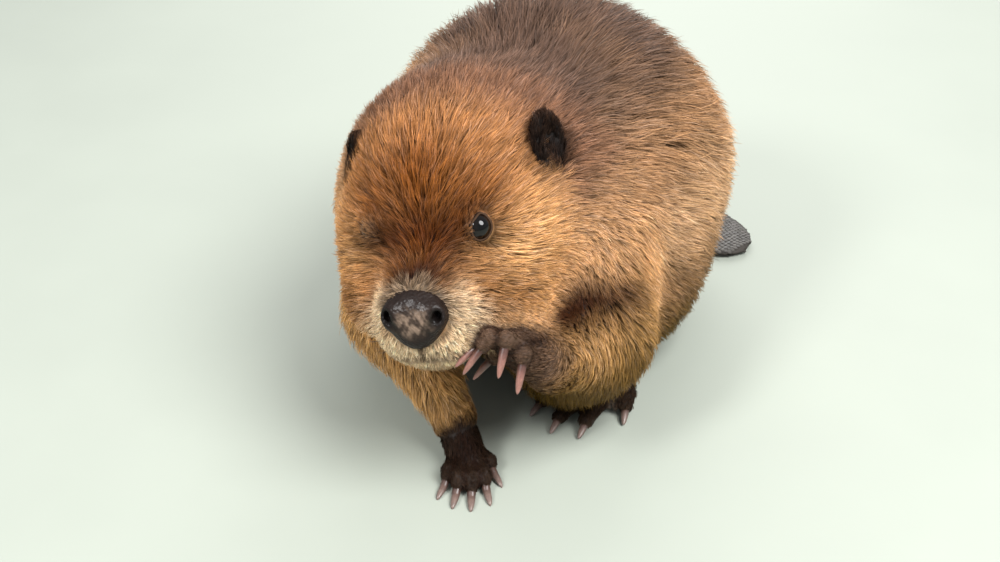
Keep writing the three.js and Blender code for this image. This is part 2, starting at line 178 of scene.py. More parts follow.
head_form = blend(
    12,
    ellipsoid((0, 14, 3), (45, 45, 42), head),
    *pair((25, 0, -14), (27, 35, 31)),
    *pair((26, -25, -28), (19, 21, 17)),
    limb((0, -12, -4), (0, -42, -14), 26, 18, head),
    ellipsoid((0, -48, -13), (15, 11, 15), head),
    *pair((9, -47, -27), (14, 14.5, 15)),
    limb((0, -10, -28), (0, -42, -38), 24, 12, head),
)

# %% The masses of the body, out to the tips of the coat
neck_form = ellipsoid((-8, -38, 100), (64, 36, 57))
trunk_form = blend(
    34,
    ellipsoid((1, -20, 88), (72, 60, 68)),
    ellipsoid((5, 44, 84), (89, 78, 83)),
    ellipsoid((8, 84, 64), (80, 56, 58)),
)
belly_form = blend(
    22,
    ellipsoid((8, -14, 38), (60, 44, 38)),
    ellipsoid((45, -50, 36), (31, 34, 34)),
)
thigh_forms = {
    "left": ellipsoid((61, 14, 46), (34, 56, 40)),
    "right": ellipsoid((-54, 14, 46), (34, 56, 40)),
}
ARM = {   # shoulder, elbow, wrist, with the radii there
    "left": ((50, -40, 84), (64, -68, 54), (54, -108, 64), (30, 23, 13)),
    "right": ((-42, -42, 78), (-36, -70, 46), (6, -103, 18), (28, 24, 11)),
}

def arm_form(which):
    shoulder, elbow, wrist, radii = ARM[which]
    return blend(14, limb(shoulder, elbow, radii[0], radii[1]),
                 limb(elbow, wrist, radii[1] - 1, radii[2]))

arm_forms = {which: arm_form(which) for which in SIDE}
tail_root_form = limb((0, 100, 44), (18, 138, 19), 34, 19)

# %% [markdown]
# The coat is deepest on the back and fades out towards the nose, down the arms and along
# the root of the tail. A second set of masses for the skin would have to be kept in step
# with the first. A depth for each mass does the same with a few numbers.

# %% Depth of the coat over each mass
HEAD_PROFILE = [-62, -50, -38, -15, 15, 45], [1.2, 2.2, 3.6, 5.5, 8, 12]   # nose to nape
ARM_PROFILE = [-0.6, 0.2, 0.8, 1.1], [11, 9, 6.5, 4]    # by share of the way to the wrist
TAIL_PROFILE = [90, 125, 150], [12, 7, 3.5]             # rump to tail

def head_depth(points):
    return np.interp(head.into(points)[..., 1], *HEAD_PROFILE)

def arm_depth(which):
    elbow, wrist = (vec(*place) for place in ARM[which][1:3])
    along = wrist - elbow
    return lambda points: np.interp((points - BODY - elbow) @ along / (along @ along),
                                    *ARM_PROFILE)

def tail_depth(points):
    return np.interp((points - BODY)[..., 1], *TAIL_PROFILE)

def even(depth):
    return lambda points: depth

MASSES = [
    (head_form, head_depth),
    (neck_form, even(12)),
    (trunk_form, even(12.5)),
    (belly_form, even(11)),
    (thigh_forms["left"], even(11)),
    (thigh_forms["right"], even(11)),
    (arm_forms["left"], arm_depth("left")),
    (arm_forms["right"], arm_depth("right")),
    (tail_root_form, tail_depth),
]
print(len(MASSES), "masses")

# %% The two surfaces
FILLET, SKIN_FILLET = 22, 38   # under the coat the hollows between the masses are shallower
LID_FILLET = 5

EYE_PLACES = [head.out(EYE * vec(s, 1, 1)) for s in SIDE.values()]
EYE_FUR = 8.2   # the short fur of the lids ends this far from the middle of the eye

def coat_surface(points):
    """Distance to the surface that the tips of the coat reach."""
    value = meld(FILLET, *(form(points) for form, depth in MASSES))
    for place in EYE_PLACES:
        value = meld(LID_FILLET, value, np.linalg.norm(points - place, axis=-1) - EYE_FUR)
    return value

def flesh(points):
    """Distance to the skin under the coat."""
    return meld(SKIN_FILLET, *(form(points) + depth(points) for form, depth in MASSES))

# %% [markdown]
# ## Paws, feet, ears and tail
# These have hardly any fur, so their skin lies just under the solids. A hand is a palm
# with five fingers, and a finger is two short limbs that meet at the knuckle. Sculpting
# would do as well, but with three places to a digit each one can be set on its own.

# %% Places of the digits
FOREPAWS = {   # wrist, palm, then root, knuckle and tip of each digit
    "left": ((57, -106, 61), (43, -118, 76), [
        ((40, -114, 72), (33, -113, 70), (29, -115, 65)),
        ((39, -119, 78), (31.2, -124, 83.7), (27.2, -127.5, 79.9)),
        ((41, -120, 79), (32.6, -126.5, 85.3), (29.7, -130, 80.6)),
        ((43, -119, 79), (39.9, -126, 86), (39.9, -128.5, 83)),
        ((47, -119, 73), (47, -124, 78.5), (47.1, -126.5, 75.3)),
    ]),
    "right": ((5, -101, 17), (17, -114, 6.4), [
        ((19, -110, 6), (26, -111, 4.5), (28.5, -113.5, 2.9)),
        ((21, -116, 6), (27.5, -121.5, 5.5), (30, -125.5, 2.9)),
        ((19, -119, 6), (23.6, -126, 6), (25.4, -131.2, 2.9)),
        ((16, -119, 6), (17.8, -127, 6), (18.7, -132.1, 2.9)),
        ((13, -117, 6), (12, -124, 5.5), (12, -128.5, 2.9)),
    ]),
}
LEFT_FOOT = ((60, 30, 7), (55, -28, 7), [
    ((42, -18, 7), (30, -36, 5.5), (24, -46, 3.5)),
    ((47, -26, 7), (38, -50, 6), (34, -62, 3.5)),
    ((53, -30, 7), (48, -57, 6), (46, -71, 3.5)),
    ((60, -29, 7), (60, -56, 6), (59, -70, 3.5)),
    ((66, -22, 7), (72, -42, 5.5), (74, -53, 3.5)),
])

def mirrored(foot):
    """The right hind foot is the left one mirrored, and drawn in a little further back."""
    def across(point):
        return tuple(vec(-1, 1, 1) * point + vec(8, 24, 0))
    heel, sole, digits = foot
    return across(heel), across(sole), [[across(p) for p in digit] for digit in digits]

FEET = {"left": LEFT_FOOT, "right": mirrored(LEFT_FOOT)}

# %% Fingers and hands
FINGER, TOE = (3.8, 2.8), (4.4, 3.4)   # radii at root and tip
WRIST_RADII = 8.6, 7.4

def beyond(a, b, by):
    """The place that far past b on the line from a."""
    a, b = vec(*a), vec(*b)
    return b + (b - a) / np.linalg.norm(b - a) * by

def digit_form(digit, radii):
    root, knuckle, tip = digit
    between = (radii[0] + radii[1]) / 2
    tip = beyond(knuckle, tip, -radii[1] * 0.8)
    return blend(1.5, limb(root, knuckle, radii[0], between),
                 limb(knuckle, tip, between, radii[1]))

def forepaw_form(which):
    wrist, palm, digits = FOREPAWS[which]
    back = limb(wrist, beyond(wrist, palm, 2), *WRIST_RADII)
    return blend(1.6, back, *(digit_form(digit, FINGER) for digit in digits))

forepaw_forms = {which: forepaw_form(which) for which in SIDE}

# %% [markdown]
# A beaver swims with its hind feet, so their toes are joined by a web. It is thin skin
# stretched from tip to tip and drawn back between them: a flat plate with an outline. The
# heel and the sole are limbs pressed flat by the weight on them.

# %% Hind feet
WEB_HALF, WEB_NOTCH = 0.8, vec(0, 6, 0)

def flat_fan(outline, level, half):
    """Distance to a flat plate with that outline, level in z."""
    corners = [vec(*p)[:2] for p in outline]
    def distance(points):
        local = points - BODY
        xy = local[..., :2]
        nearest = None
        inside = np.zeros(xy.shape[:-1], bool)
        for a, b in zip(corners, corners[1:] + corners[:1]):
            edge, offset = b - a, xy - a
            t = np.clip(offset @ edge / (edge @ edge), 0, 1)
            gap = np.linalg.norm(offset - t[..., None] * edge, axis=-1)
            nearest = gap if nearest is None else np.minimum(nearest, gap)
            rises = (a[1] > xy[..., 1]) != (b[1] > xy[..., 1])
            slope = (b[0] - a[0]) / (b[1] - a[1] if b[1] != a[1] else 1e-9)
            inside ^= rises & (xy[..., 0] < a[0] + (xy[..., 1] - a[1]) * slope)
        across = np.where(inside, -nearest, nearest) + half
        return np.hypot(np.maximum(across, 0), local[..., 2] - level(local)) - half
    return distance

def pressed(form, level=7, flat=0.62):
    """The form pressed towards a level; its distance is cut by a quarter to stay safe."""
    def distance(points):
        z = points[..., 2]
        return form(points + np.stack([0 * z, 0 * z, (z - level) * (1 / flat - 1)], -1)) * 0.75
    return distance

def foot_form(which):
    heel, sole, digits = FEET[which]
    instep = vec(heel[0], heel[1] - 30, 8)
    tips = [beyond(knuckle, tip, -3) for root, knuckle, tip in digits]
    rim = [tips[0]]
    for a, b in zip(tips, tips[1:]):
        rim += [(a + b) / 2 + WEB_NOTCH, b]
    hub = vec(*digits[2][0])
    def web_level(local):
        return 6.2 - 0.06 * np.clip(hub[1] - local[..., 1], 0, 45)
    web = flat_fan([hub, *rim], web_level, WEB_HALF)
    shank = blend(4, pressed(limb(heel, instep, 11, 12.5)), pressed(limb(instep, sole, 12.5, 14)))
    return blend(3, shank, web, *(digit_form(digit, TOE) for digit in digits))

foot_forms = {which: foot_form(which) for which in SIDE}
print(sum(len(digits) for _, _, digits in [*FOREPAWS.values(), *FEET.values()]), "digits")

# %% [markdown]
# The ear is a small round leaf, cupped to the front and the side. It could be a bent
# plate, but a flat egg with a smaller egg taken out of its hollow side gives the thick
# root and the thin rim in one. The bent neck presses the right ear in and down.

# %% Ears
EAR_PLACE = vec(46.8, 18, 21)   # of the left one, in the head's frame
EAR_PRESSED = {"left": (0, 0, 0), "right": (3, 1, -8)}

def unit(vector):
    return vector / np.linalg.norm(vector)

def ear_frame(which):
    """X across the ear, Y out of its back, Z from its base to its tip."""
    s = SIDE[which]
    up = unit(vec(-s * 4, 13, 26))
    face = unit(vec(s * 0.85, -0.45, 0.3))
    face = unit(face - up * (face @ up))
    return Frame(EAR_PLACE * vec(s, 1, 1) + vec(*EAR_PRESSED[which]),
                 np.stack([np.cross(-face, up), -face, up], 1), head)

EARS = {which: ear_frame(which) for which in SIDE}

def ear_form(which):
    home = EARS[which]
    shell = ellipsoid((0, 0, 0), (8.8, 3.4, 13.6), home)
    cup = ellipsoid((0, -4.6, 1), (6.4, 5.2, 10.4), home)
    return lambda points: -meld(1.5, -shell(points), cup(points))

ear_forms = {which: ear_form(which) for which in SIDE}
print("ears at", *(EARS[which].place.round(0) for which in SIDE))

# %% [markdown]
# The tail is a paddle on a round stem. A plate bent along a curve with a modifier would
# give its look, but not its distance. So the form asks of each point how far along the
# tail's line it is, how far aside and how far above, and the width and the thickness
# follow from the first of these.

# %% Line of the tail
TAIL_LINE = [(9, 124, 17), (34, 141, 8.6), (64, 129, 3.8), (98, 112, 2.5)]
TAIL_WIDTH, TAIL_THICKNESS = 50, (11, 6)

def catmull_rom(points, steps):
    """A smooth line through the points, the same curve that the solid follows."""
    points = [vec(*p) for p in points]
    points = [2 * points[0] - points[1], *points, 2 * points[-1] - points[-2]]
    line = []
    for a, b, c, d in zip(points, points[1:], points[2:], points[3:]):
        knots = np.cumsum([0] + [np.linalg.norm(q - p) ** 0.5
                                 for p, q in ((a, b), (b, c), (c, d))])
        t = np.linspace(knots[1], knots[2], steps, endpoint=False)[:, None]
        t0, t1, t2, t3 = knots
        ab = (t1 - t) / (t1 - t0) * a + (t - t0) / (t1 - t0) * b
        bc = (t2 - t) / (t2 - t1) * b + (t - t1) / (t2 - t1) * c
        cd = (t3 - t) / (t3 - t2) * c + (t - t2) / (t3 - t2) * d
        abc = (t2 - t) / (t2 - t0) * ab + (t - t0) / (t2 - t0) * bc
        bcd = (t3 - t) / (t3 - t1) * bc + (t - t1) / (t3 - t1) * cd
        line.append((t2 - t) / (t2 - t1) * abc + (t - t1) / (t2 - t1) * bcd)
    return np.concatenate([*line, points[-2][None]])

TAIL = catmull_rom(TAIL_LINE, 16)
print(f"tail of {np.linalg.norm(np.diff(TAIL, axis=0), axis=1).sum():.0f} mm")

# %% Form of the tail
def unit_rows(vectors):
    return vectors / np.maximum(np.linalg.norm(vectors, axis=-1, keepdims=True), 1e-9)

def tail_place(points):
    """Share of the way along the tail, and offset to its left, above it and past its end."""
    local = points - BODY
    start, step = TAIL[:-1, :2], np.diff(TAIL[:, :2], axis=0)
    offset = local[..., None, :2] - start
    t = np.clip((offset * step).sum(-1) / (step ** 2).sum(-1), 0, 1)
    gap = offset - t[..., None] * step
    nearest = np.argmin((gap ** 2).sum(-1), -1)
    pick = lambda values: np.take_along_axis(values, nearest[..., None], -1)[..., 0]
    t = pick(t)
    along = (nearest + t) / len(step)
    direction = unit_rows(step)[nearest]
    gap = np.take_along_axis(gap, nearest[..., None, None], -2)[..., 0, :]
    aside = gap[..., 0] * -direction[..., 1] + gap[..., 1] * direction[..., 0]
    past = np.abs((gap * direction).sum(-1))
    level = np.interp(along, np.linspace(0, 1, len(TAIL)), TAIL[:, 2])
    return along, aside, local[..., 2] - level, past

def tail_half_width(along):
    return TAIL_WIDTH / 2 * np.minimum(0.55 + 1.1 * along, 1) * np.sqrt(1 - along ** 6)

def tail_form(points):
    along, aside, above, past = tail_place(points)
    width = np.maximum(tail_half_width(along) - 0.5, 1.5)
    thick = np.interp(along, [0, 1], TAIL_THICKNESS) / 2 - 0.4
    thick = thick * np.sqrt(np.maximum(1 - along ** 12, 0.1))
    scaled = np.stack([aside / width, above / thick, past / thick], -1)
    length = np.linalg.norm(scaled, axis=-1)
    slope = np.linalg.norm(scaled / np.stack([width, thick, thick], -1), axis=-1)
    return length * (length - 1) / np.maximum(slope, 1e-9)

# %% [markdown]
# ## Orbits and lids
# Round each eye the skin swells over the ball and opens in a drop shape, blunt towards
# the nose and pointed up and back. The opening is told as an angle from the middle of the
# gaze, for each direction round it. A kit often half closes the eye on the side that it
# leans to, so the right lids are drawn further together.

# %% Orbits
EYE_RADIUS, LID_RADIUS = 6.2, 7.0
SOCKET_RADIUS = 3.0   # the opening reaches in this far, well inside the ball
BEHIND_RIM = 0.10     # radians by which the skin stays back from the rim of the lid
GAZE = {which: vec(s * 0.72, -0.57, 0.41) for which, s in SIDE.items()}
OPEN = {"left": 1.0, "right": 0.35}

def gaze_frame(which):
    """Z out of the eye along its gaze, Y up and back to the point of the drop."""
    out = unit(GAZE[which])
    up = vec(SIDE[which] * 0.12, 0.63, 0.77)
    up = unit(up - out * (up @ out))
    return Frame(EYE * vec(SIDE[which], 1, 1), np.stack([np.cross(up, out), up, out], 1),
                 head)

ORBITS = {which: gaze_frame(which) for which in SIDE}

def lid_angle(which, round_angle):
    """Half opening of the lids in radians, seen from the middle of the ball."""
    y = np.sin(round_angle)
    wide, tall = math.radians(45), math.radians(58)
    drop = 1 - 0.26 * np.maximum(y, 0) ** 1.5 * (1 - np.maximum(y, 0) ** 8)
    reach = 1 / np.sqrt((np.cos(round_angle) / wide) ** 2 + (y / tall) ** 2)
    squint = OPEN[which] + (1 - OPEN[which]) * np.abs(y) ** 3
    return reach * drop * squint

def about_the_eye(which, points):
    """Distance from the eye's middle, angle from the gaze, and the lids' angle there."""
    local = ORBITS[which].into(points)
    radius = np.linalg.norm(local, axis=-1)
    angle = np.arccos(np.clip(local[..., 2] / np.maximum(radius, 1e-6), -1, 1))
    return radius, angle, lid_angle(which, np.arctan2(local[..., 1], local[..., 0]))

def orbit(which, body, points):
    """The body with a swelling over the eyeball, opened where the lids part."""
    radius, angle, edge = about_the_eye(which, points)
    body = meld(4.5, body, radius - LID_RADIUS)
    hole = (edge + BEHIND_RIM - angle) * radius
    return np.maximum(body, np.minimum(hole, radius - SOCKET_RADIUS))

# %% [markdown]
# ## One skin
# Separate meshes would have to be joined and smoothed where they meet. Distances only
# have to be melded: widely at the limbs, narrowly at the ears, where the fold is sharp.
# The digits are many small forms, so they are worked out only near their own palm or
# sole, which saves most of the time.

# %% The whole skin as one distance
PAW_REACH, FOOT_REACH, EAR_REACH, ORBIT_REACH = 40, 90, 40, 18
LIMB_FOLD, EAR_FOLD, TAIL_FOLD = 5, 3, 8
SKIN_LIFT = 0.15   # the skin ends this far above the floor

def near(form, points, centre, reach, far=30.0):
    """The form's distance close to its centre, and a plain far value elsewhere."""
    value = np.full(points.shape[:-1], far)
    close = ((points - BODY - vec(*centre)) ** 2).sum(-1) < reach ** 2
    value[close] = form(points[close])
    return value

def near_tail(points):
    return near(tail_form, points, (55, 125, 10), 75)

def skin_distance(points):
    body = flesh(points)
    for which in SIDE:
        close = ((points - ORBITS[which].place) ** 2).sum(-1) < ORBIT_REACH ** 2
        body[close] = orbit(which, body[close], points[close])
        paw = near(forepaw_forms[which], points, FOREPAWS[which][1], PAW_REACH)
        body = meld(LIMB_FOLD, body, paw)
        foot = near(foot_forms[which], points, FEET[which][1], FOOT_REACH)
        body = meld(LIMB_FOLD, body, foot)
        ear = near(ear_forms[which], points, EARS[which].place - BODY, EAR_REACH)
        body = meld(EAR_FOLD, body, ear)
    return np.maximum(meld(TAIL_FOLD, body, near_tail(points)), SKIN_LIFT - points[..., 2])

# %% [markdown]
# ## From distance to mesh
# Surface nets turn a distance into an even mesh of quads: every small cube that the
# surface passes through gets one vertex, and a few steps down the slope pull it exactly
# onto the surface. Only cubes close to the surface are worked out. The result has no
# poles and no thin triangles, which suits a body with fingers, ears and a tail.

# %% Points onto a surface
def slope_of(distance, points, step=0.05):
    offsets = np.eye(3) * step
    return np.stack([distance(points + o) - distance(points - o) for o in offsets],
                    -1) / (2 * step)

def onto(distance, points, level=0.0, rounds=3):
    """Points moved along the slope until they lie at that level."""
    for _ in range(rounds):
        slope = slope_of(distance, points)
        steep = np.maximum((slope ** 2).sum(-1, keepdims=True), 0.2)
        points = points - slope * (distance(points) - level)[..., None] / steep
    return points

# %% A distance on a grid
CLOSE = 1.9   # coarse cells on either side of the surface that are worked out finely

def sampled(distance, low, cell, count, coarse):
    """The distance at each point of a grid: exact near the surface, rough elsewhere."""
    axes = [low[i] + cell * np.arange(count[i]) for i in range(3)]
    grid = np.stack(np.meshgrid(*axes, indexing="ij"), -1)
    value = distance(grid[::coarse, ::coarse, ::coarse])
    for axis in range(3):
        kept = [slice(None)] * 3
        kept[axis] = slice(coarse // 2, coarse // 2 + count[axis])
        value = np.repeat(value, coarse, axis)[tuple(kept)]
    close = np.abs(value) < cell * coarse * CLOSE
    value[close] = distance(grid[close])
    return value

# %% Points and quads of the net
CORNERS = [(i, j, k) for i in (0, 1) for j in (0, 1) for k in (0, 1)]

def net_points(value, cells, low, cell):
    """For each cell the middle of the places where its edges cross the surface."""
    summed, crossings = np.zeros((len(cells), 3)), np.zeros(len(cells))
    for a in CORNERS:
        for axis in range(3):
            if a[axis]:
                continue
            b = tuple(1 if i == axis else a[i] for i in range(3))
            va, vb = (value[tuple((cells + corner).T)] for corner in (a, b))
            crossed = (va < 0) != (vb < 0)
            t = np.where(crossed, va / np.where(crossed, va - vb, 1), 0)
            point = (cells + a) + t[:, None] * (vec(*b) - a)
            summed[crossed] += point[crossed]
            crossings[crossed] += 1
    return low + cell * summed / crossings[:, None]

def net_quads(inside, number):
    """A quad round each grid edge that crosses the surface, turned to face out."""
    quads = []
    for axis in range(3):
        u, v = (axis + 1) % 3, (axis + 2) % 3
        crossed = inside != np.roll(inside, -1, axis)
        last = [slice(None)] * 3
        last[axis] = -1
        crossed[tuple(last)] = False
        edge = np.argwhere(crossed)
        edge = edge[(edge[:, u] > 0) & (edge[:, v] > 0)]
        ring = []
        for du, dv in ((1, 1), (0, 1), (0, 0), (1, 0)):
            c = edge.copy()
            c[:, u] -= du
            c[:, v] -= dv
            ring.append(number[tuple(c.T)])
        ring = np.stack(ring, 1)
        out = ~inside[tuple(edge.T)]
        ring[out] = ring[out][:, ::-1]
        quads.append(ring)
    return np.concatenate(quads)

# %% Surface nets
MOST_MOVE = 0.7   # of a cell, so that no point leaves its neighbours

def surface_net(distance, low, high, cell, coarse=4):
    """Points and quads of a form's surface; a quad is about as long as a cell."""
    count = (np.ceil((high - low) / (cell * coarse)).astype(int)) * coarse + 1
    value = sampled(distance, low, cell, count, coarse)
    inside = value < 0
    total = sum(inside[tuple(slice(s, n - 1 + s) for s, n in zip(corner, count))].astype(np.int8)
                for corner in CORNERS)
    cells = np.argwhere((total > 0) & (total < 8))
    number = np.full(count - 1, -1)
    number[tuple(cells.T)] = np.arange(len(cells))
    start = net_points(value, cells, low, cell)
    moved = onto(distance, start) - start
    far = np.linalg.norm(moved, axis=1, keepdims=True)
    points = start + moved * np.minimum(1, cell * MOST_MOVE / np.maximum(far, 1e-9))
    return points, net_quads(inside, number)

# %% [markdown]
# ## The skin
# One closed mesh stands for all the nodes of flesh, so no joint between them shows. It is
# fine enough for fingers and ear rims. Its normals for the map and the roots of the tufts
# come from the slope of the distance, which is smoother than what the facets give.

# %% Skin mesh
SKIN_CELL = 1.5
MARGIN = 4.0
low, high = (vec(*corner) / MM for corner in cad_box)
skin_points, skin_quads = surface_net(skin_distance, low - MARGIN, high + MARGIN, SKIN_CELL)
skin_normals = unit_rows(slope_of(skin_distance, skin_points, 0.3))
print(f"skin: {len(skin_points)} points, {len(skin_quads)} quads")

# %% [markdown]
# ## A map of the skin
# Colours can only be kept with the model if every bit of skin has its own place on a flat
# map. Blender's Smart UV Project would do, but it is slow on an even mesh this fine. The
# same idea is quick with arrays: faces that look the same way, out of six ways, and touch
# each other form a chart, and the charts are set out on shelves, the tallest first.

# %% Charts
def neighbours(quads):
    """Pairs of faces that share an edge."""
    edges = np.stack([quads, np.roll(quads, -1, 1)], -1).reshape(-1, 2)
    edges.sort(axis=1)
    key = edges[:, 0].astype(np.int64) * (quads.max() + 1) + edges[:, 1]
    order = np.argsort(key, kind="stable")
    same = key[order][1:] == key[order][:-1]
    return order[:-1][same] // 4, order[1:][same] // 4

def components(facing, a, b):
    """A label for each group of touching faces that look the same way."""
    label = np.arange(len(facing))
    a, b = (side[facing[a] == facing[b]] for side in (a, b))
    while True:
        least = np.minimum(label[a], label[b])
        before = label.copy()
        np.minimum.at(label, a, least)
        np.minimum.at(label, b, least)
        label = label[label]
        if (label == before).all():
            return np.unique(label, return_inverse=True)[1]

def charts(quads, normals, smallest=40):
    a, b = neighbours(quads)
    facing = np.argmax(np.concatenate([normals, -normals], 1), 1)
    for _ in range(4):
        label = components(facing, a, b)
        small = np.bincount(label)[label] < smallest
        for x, y in ((a, b), (b, a)):
            swap = small[x] & ~small[y]
            facing[x[swap]] = facing[y[swap]]
    return facing, components(facing, a, b)

# %% Shelves
FIRST_SLACK, MORE_SLACK = 1.04, 1.01   # by how much the square is larger than its charts

def on_shelves(sizes, gap):
    """Lower left corner for each rectangle, and the side of the square that holds them."""
    side = math.sqrt(((sizes + gap).prod(1)).sum()) * FIRST_SLACK
    while True:
        corner, x, y, shelf = np.zeros_like(sizes), gap, gap, 0
        for i in np.argsort(-sizes[:, 1]):
            if x + sizes[i, 0] + gap > side:
                x, y, shelf = gap, y + shelf + gap, 0
            corner[i] = x, y
            x, shelf = x + sizes[i, 0] + gap, max(shelf, sizes[i, 1])
        if y + shelf + gap <= side:
            return corner, side
        side *= MORE_SLACK

# %% Unwrap
def unwrap(points, quads, normals, gap=1.5):
    """UV for each corner of each quad."""
    facing, chart = charts(quads, normals)
    axes = np.array([(1, 2), (0, 2), (0, 1)])[facing % 3]
    flat = np.stack([np.take_along_axis(points[quads], axes[:, None, i:i + 1], 2)[..., 0]
                     for i in (0, 1)], -1)
    count = chart.max() + 1
    low, high = np.full((count, 2), 1e9), np.full((count, 2), -1e9)
    for corner in range(4):
        np.minimum.at(low, chart, flat[:, corner])
        np.maximum.at(high, chart, flat[:, corner])
    sizes = high - low
    tall = sizes[:, 1] > sizes[:, 0]
    flat[tall[chart]] = flat[tall[chart]][..., ::-1]
    low[tall], sizes[tall] = low[tall][:, ::-1], sizes[tall][:, ::-1]
    corner, side = on_shelves(sizes, gap)
    print(f"map: {count} charts, {side:.0f} mm square")
    return (flat - low[chart][:, None] + corner[chart][:, None]) / side

quad_normals = unit_rows(skin_normals[skin_quads].mean(1))
skin_uv = unwrap(skin_points, skin_quads, quad_normals)

# %% [markdown]
# ## Markings
# The feet, the ears and the rims of the lids are nearly black. A painted texture could
# say this, but it would need a painter and a file. Here one function tells the colour at
# any point of the body. Skin and tufts both ask it, so they always agree, and a slow
# noise keeps the areas from looking painted.

# %% The palette
def linear(code):
    """An sRGB hex colour as linear red, green and blue."""
    values = [int(code[i:i + 2], 16) / 255 for i in (0, 2, 4)]
    return [v / 12.92 if v <= 0.04045 else ((v + 0.055) / 1.055) ** 2.4 for v in values]

FUR = {name: vec(*linear(code)) for name, code in {
    "crown": "ae7849",
    "forehead": "824815",
    "bridge_and_hollow_shade": "321402",
    "brow": "562907",
    "golden": "96602a",
    "halo": "8a735b",
    "cheek": "cc9862",
    "pale": "dcb07a",
    "jowl": "82572f",
    "muzzle": "e6c9a2",
    "chin": "98754f",
    "crease_shade": "24140d",
    "ruff": "d39f6c",
    "shade": "3a1f0e",
    "nape": "7c5740",
    "back": "5c4639",
    "shoulder": "9f7753",
    "flank": "c39b72",
    "shaded_belly": "543e0c",
    "leg": "b78b54",
    "low": "7f5f3e",
    "foot": "2f2117",
    "web": "5e5246",
    "paw": "5e4737",
    "ear": "1b110c",
    "tail": "3d3833",
}.items()}
print(len(FUR), "coat colours")

# %% [markdown]
# No marking ends at a line: each one fades out over a ramp or a round spot, and a slow
# noise shifts its edge. Blender's noise nodes could do that for the skin alone, but each
# tuft has to know its colour while it is made. So the noise is a sum of a few waves.

# %% Noise and blending
FULL_TURN = 6.28

def wander(points, size, seed=0):
    """A slow noise between -1 and 1 whose patches are about that many millimetres."""
    rng = np.random.default_rng(seed)
    total = 0
    for weight in (0.5, 0.3, 0.2):
        for _ in range(4):
            wave = unit(rng.normal(size=3)) / size * rng.uniform(0.7, 1.4)
            shift = rng.uniform(0, FULL_TURN)
            total = total + weight / 2 * np.sin(points @ wave * FULL_TURN + shift)
        size *= 0.5
    return np.clip(total, -1, 1)

def towards(colour, name, share):
    """The colour with a share of a named fur colour laid over it."""
    return colour + (FUR[name] - colour) * np.clip(share, 0, 1)[..., None]

def spot(local, centre, half):
    """1 at the centre of a patch, falling away over its half sizes."""
    return np.exp(-(((local - vec(*centre)) / vec(*half)) ** 2).sum(-1))

# %% [markdown]
# The face is told in the head's own millimetres, with `side` as the distance from the
# middle, so that both cheeks get the same mask. Later lines paint over earlier ones, as a
# make-up artist works from the broad areas to the small dark ones.

# %% The face
def mouth_gap(at):
    """Distance from the line of the mouth and the groove that joins it to the nose."""
    side, z = np.abs(at[..., 0]), at[..., 2]
    lips = np.abs(z + 32 + 0.012 * side ** 2) + np.maximum(side - 17, 0)
    groove = side + np.maximum(-32 - z, 0) + np.maximum(z + 22, 0)
    return np.where(at[..., 1] < -34, np.minimum(lips, groove), 40)

def mask(at):
    """Colour of the head's coat."""
    side, y, z = np.abs(at[:, 0]), at[:, 1], at[:, 2]
    mirror = np.stack([side, y, z], -1)
    freckle = ramp(wander(at, 5, 8), 0.0, 0.45) * ramp(y, -38, -48) * ramp(z, -4, -12)
    layers = [
        ("nape", ramp(y, 14, 36) * ramp(z, 24, 36)),
        ("cheek", ramp(side, 20, 33) * ramp(z, 24, -2)),
        ("pale", 0.5 * spot(mirror, (33, -33, 0), (11, 12, 8))),
        # darker gold over the right side of the head: painted shade on the side turned away from
        # the light
        ("golden", 0.3 * ramp(at[:, 0], -14, -34)),
        ("forehead", spot(mirror, (0, -19, 30), (24, 19, 20))),
        ("forehead", 0.9 * spot(mirror, (22, -17, 20), (9, 8, 8))),
        ("brow", 1.25 * spot(mirror, (0, -36, 10), (21, 14, 13))),
        ("brow", 0.95 * spot(at, (14, -28, 13), (9, 9, 9))),
        ("shade", 0.8 * spot(mirror, (17, -33, 7), (5, 6, 6))),
        ("golden", 0.7 * spot(at, (-3, -40, 9), (8, 3, 4))),
        ("bridge_and_hollow_shade", 1.5 * spot(mirror, (0, -49.5, 3), (16, 6, 9))),
        # painted shade in the hollow round the half-closed right eye
        ("bridge_and_hollow_shade", 1.0 * spot(at, (-20, -30, 9), (9, 9, 10))),
        ("muzzle", ramp(side, 9, 17) * ramp(y, -36, -50) * ramp(z, 2, -11)),
        ("muzzle", ramp(side, 27, 20) * ramp(y, -24, -44) * ramp(z, -14, -24)),
        ("jowl", spot(mirror, (34, -32, -21), (16, 18, 10))),
        ("halo", ramp(y, -51, -54) * ramp(z, -14, -6)),
        ("golden", 0.3 * freckle),
        ("chin", 0.9 * ramp(z, -36, -44) * ramp(side, 20, 8)),
        # painted shade in the crease of the mouth and in the groove below the nose
        ("crease_shade", 0.8 * ramp(mouth_gap(at), 2.2, 0.5)),
    ]
    face = np.repeat(FUR["crown"][None], len(at), 0)
    for name, share in layers:
        face = towards(face, name, share)
    return face

# %% [markdown]
# On the body the bands run with height: grey back, tan flank, then darker towards the bottom
# into an olive belly. That darkening is painted shade under the body, and the olive tint is
# painted light thrown up by the floor. Under the edge of the left cheek the long hair casts a
# shadow on the upper arm, painted as a dark band, and the hands and feet darken from the wrist on.

# %% Hands and the shadow of the cheek
def past_wrist(which, points):
    """Share of the way from the wrist to the middle of the palm."""
    wrist, palm = (vec(*place) for place in FOREPAWS[which][:2])
    return (points - BODY - wrist) @ (palm - wrist) / ((palm - wrist) @ (palm - wrist))

def finger_gaps(which, points):
    """1 in the creases between neighbouring fingers, where shade is painted."""
    gaps = [digit_form(digit, FINGER)(points) for digit in FOREPAWS[which][2]]
    nearest, second = np.sort(np.stack(gaps, -1), -1)[..., :2].T
    return np.exp(-((second - nearest) / 1.5) ** 2)

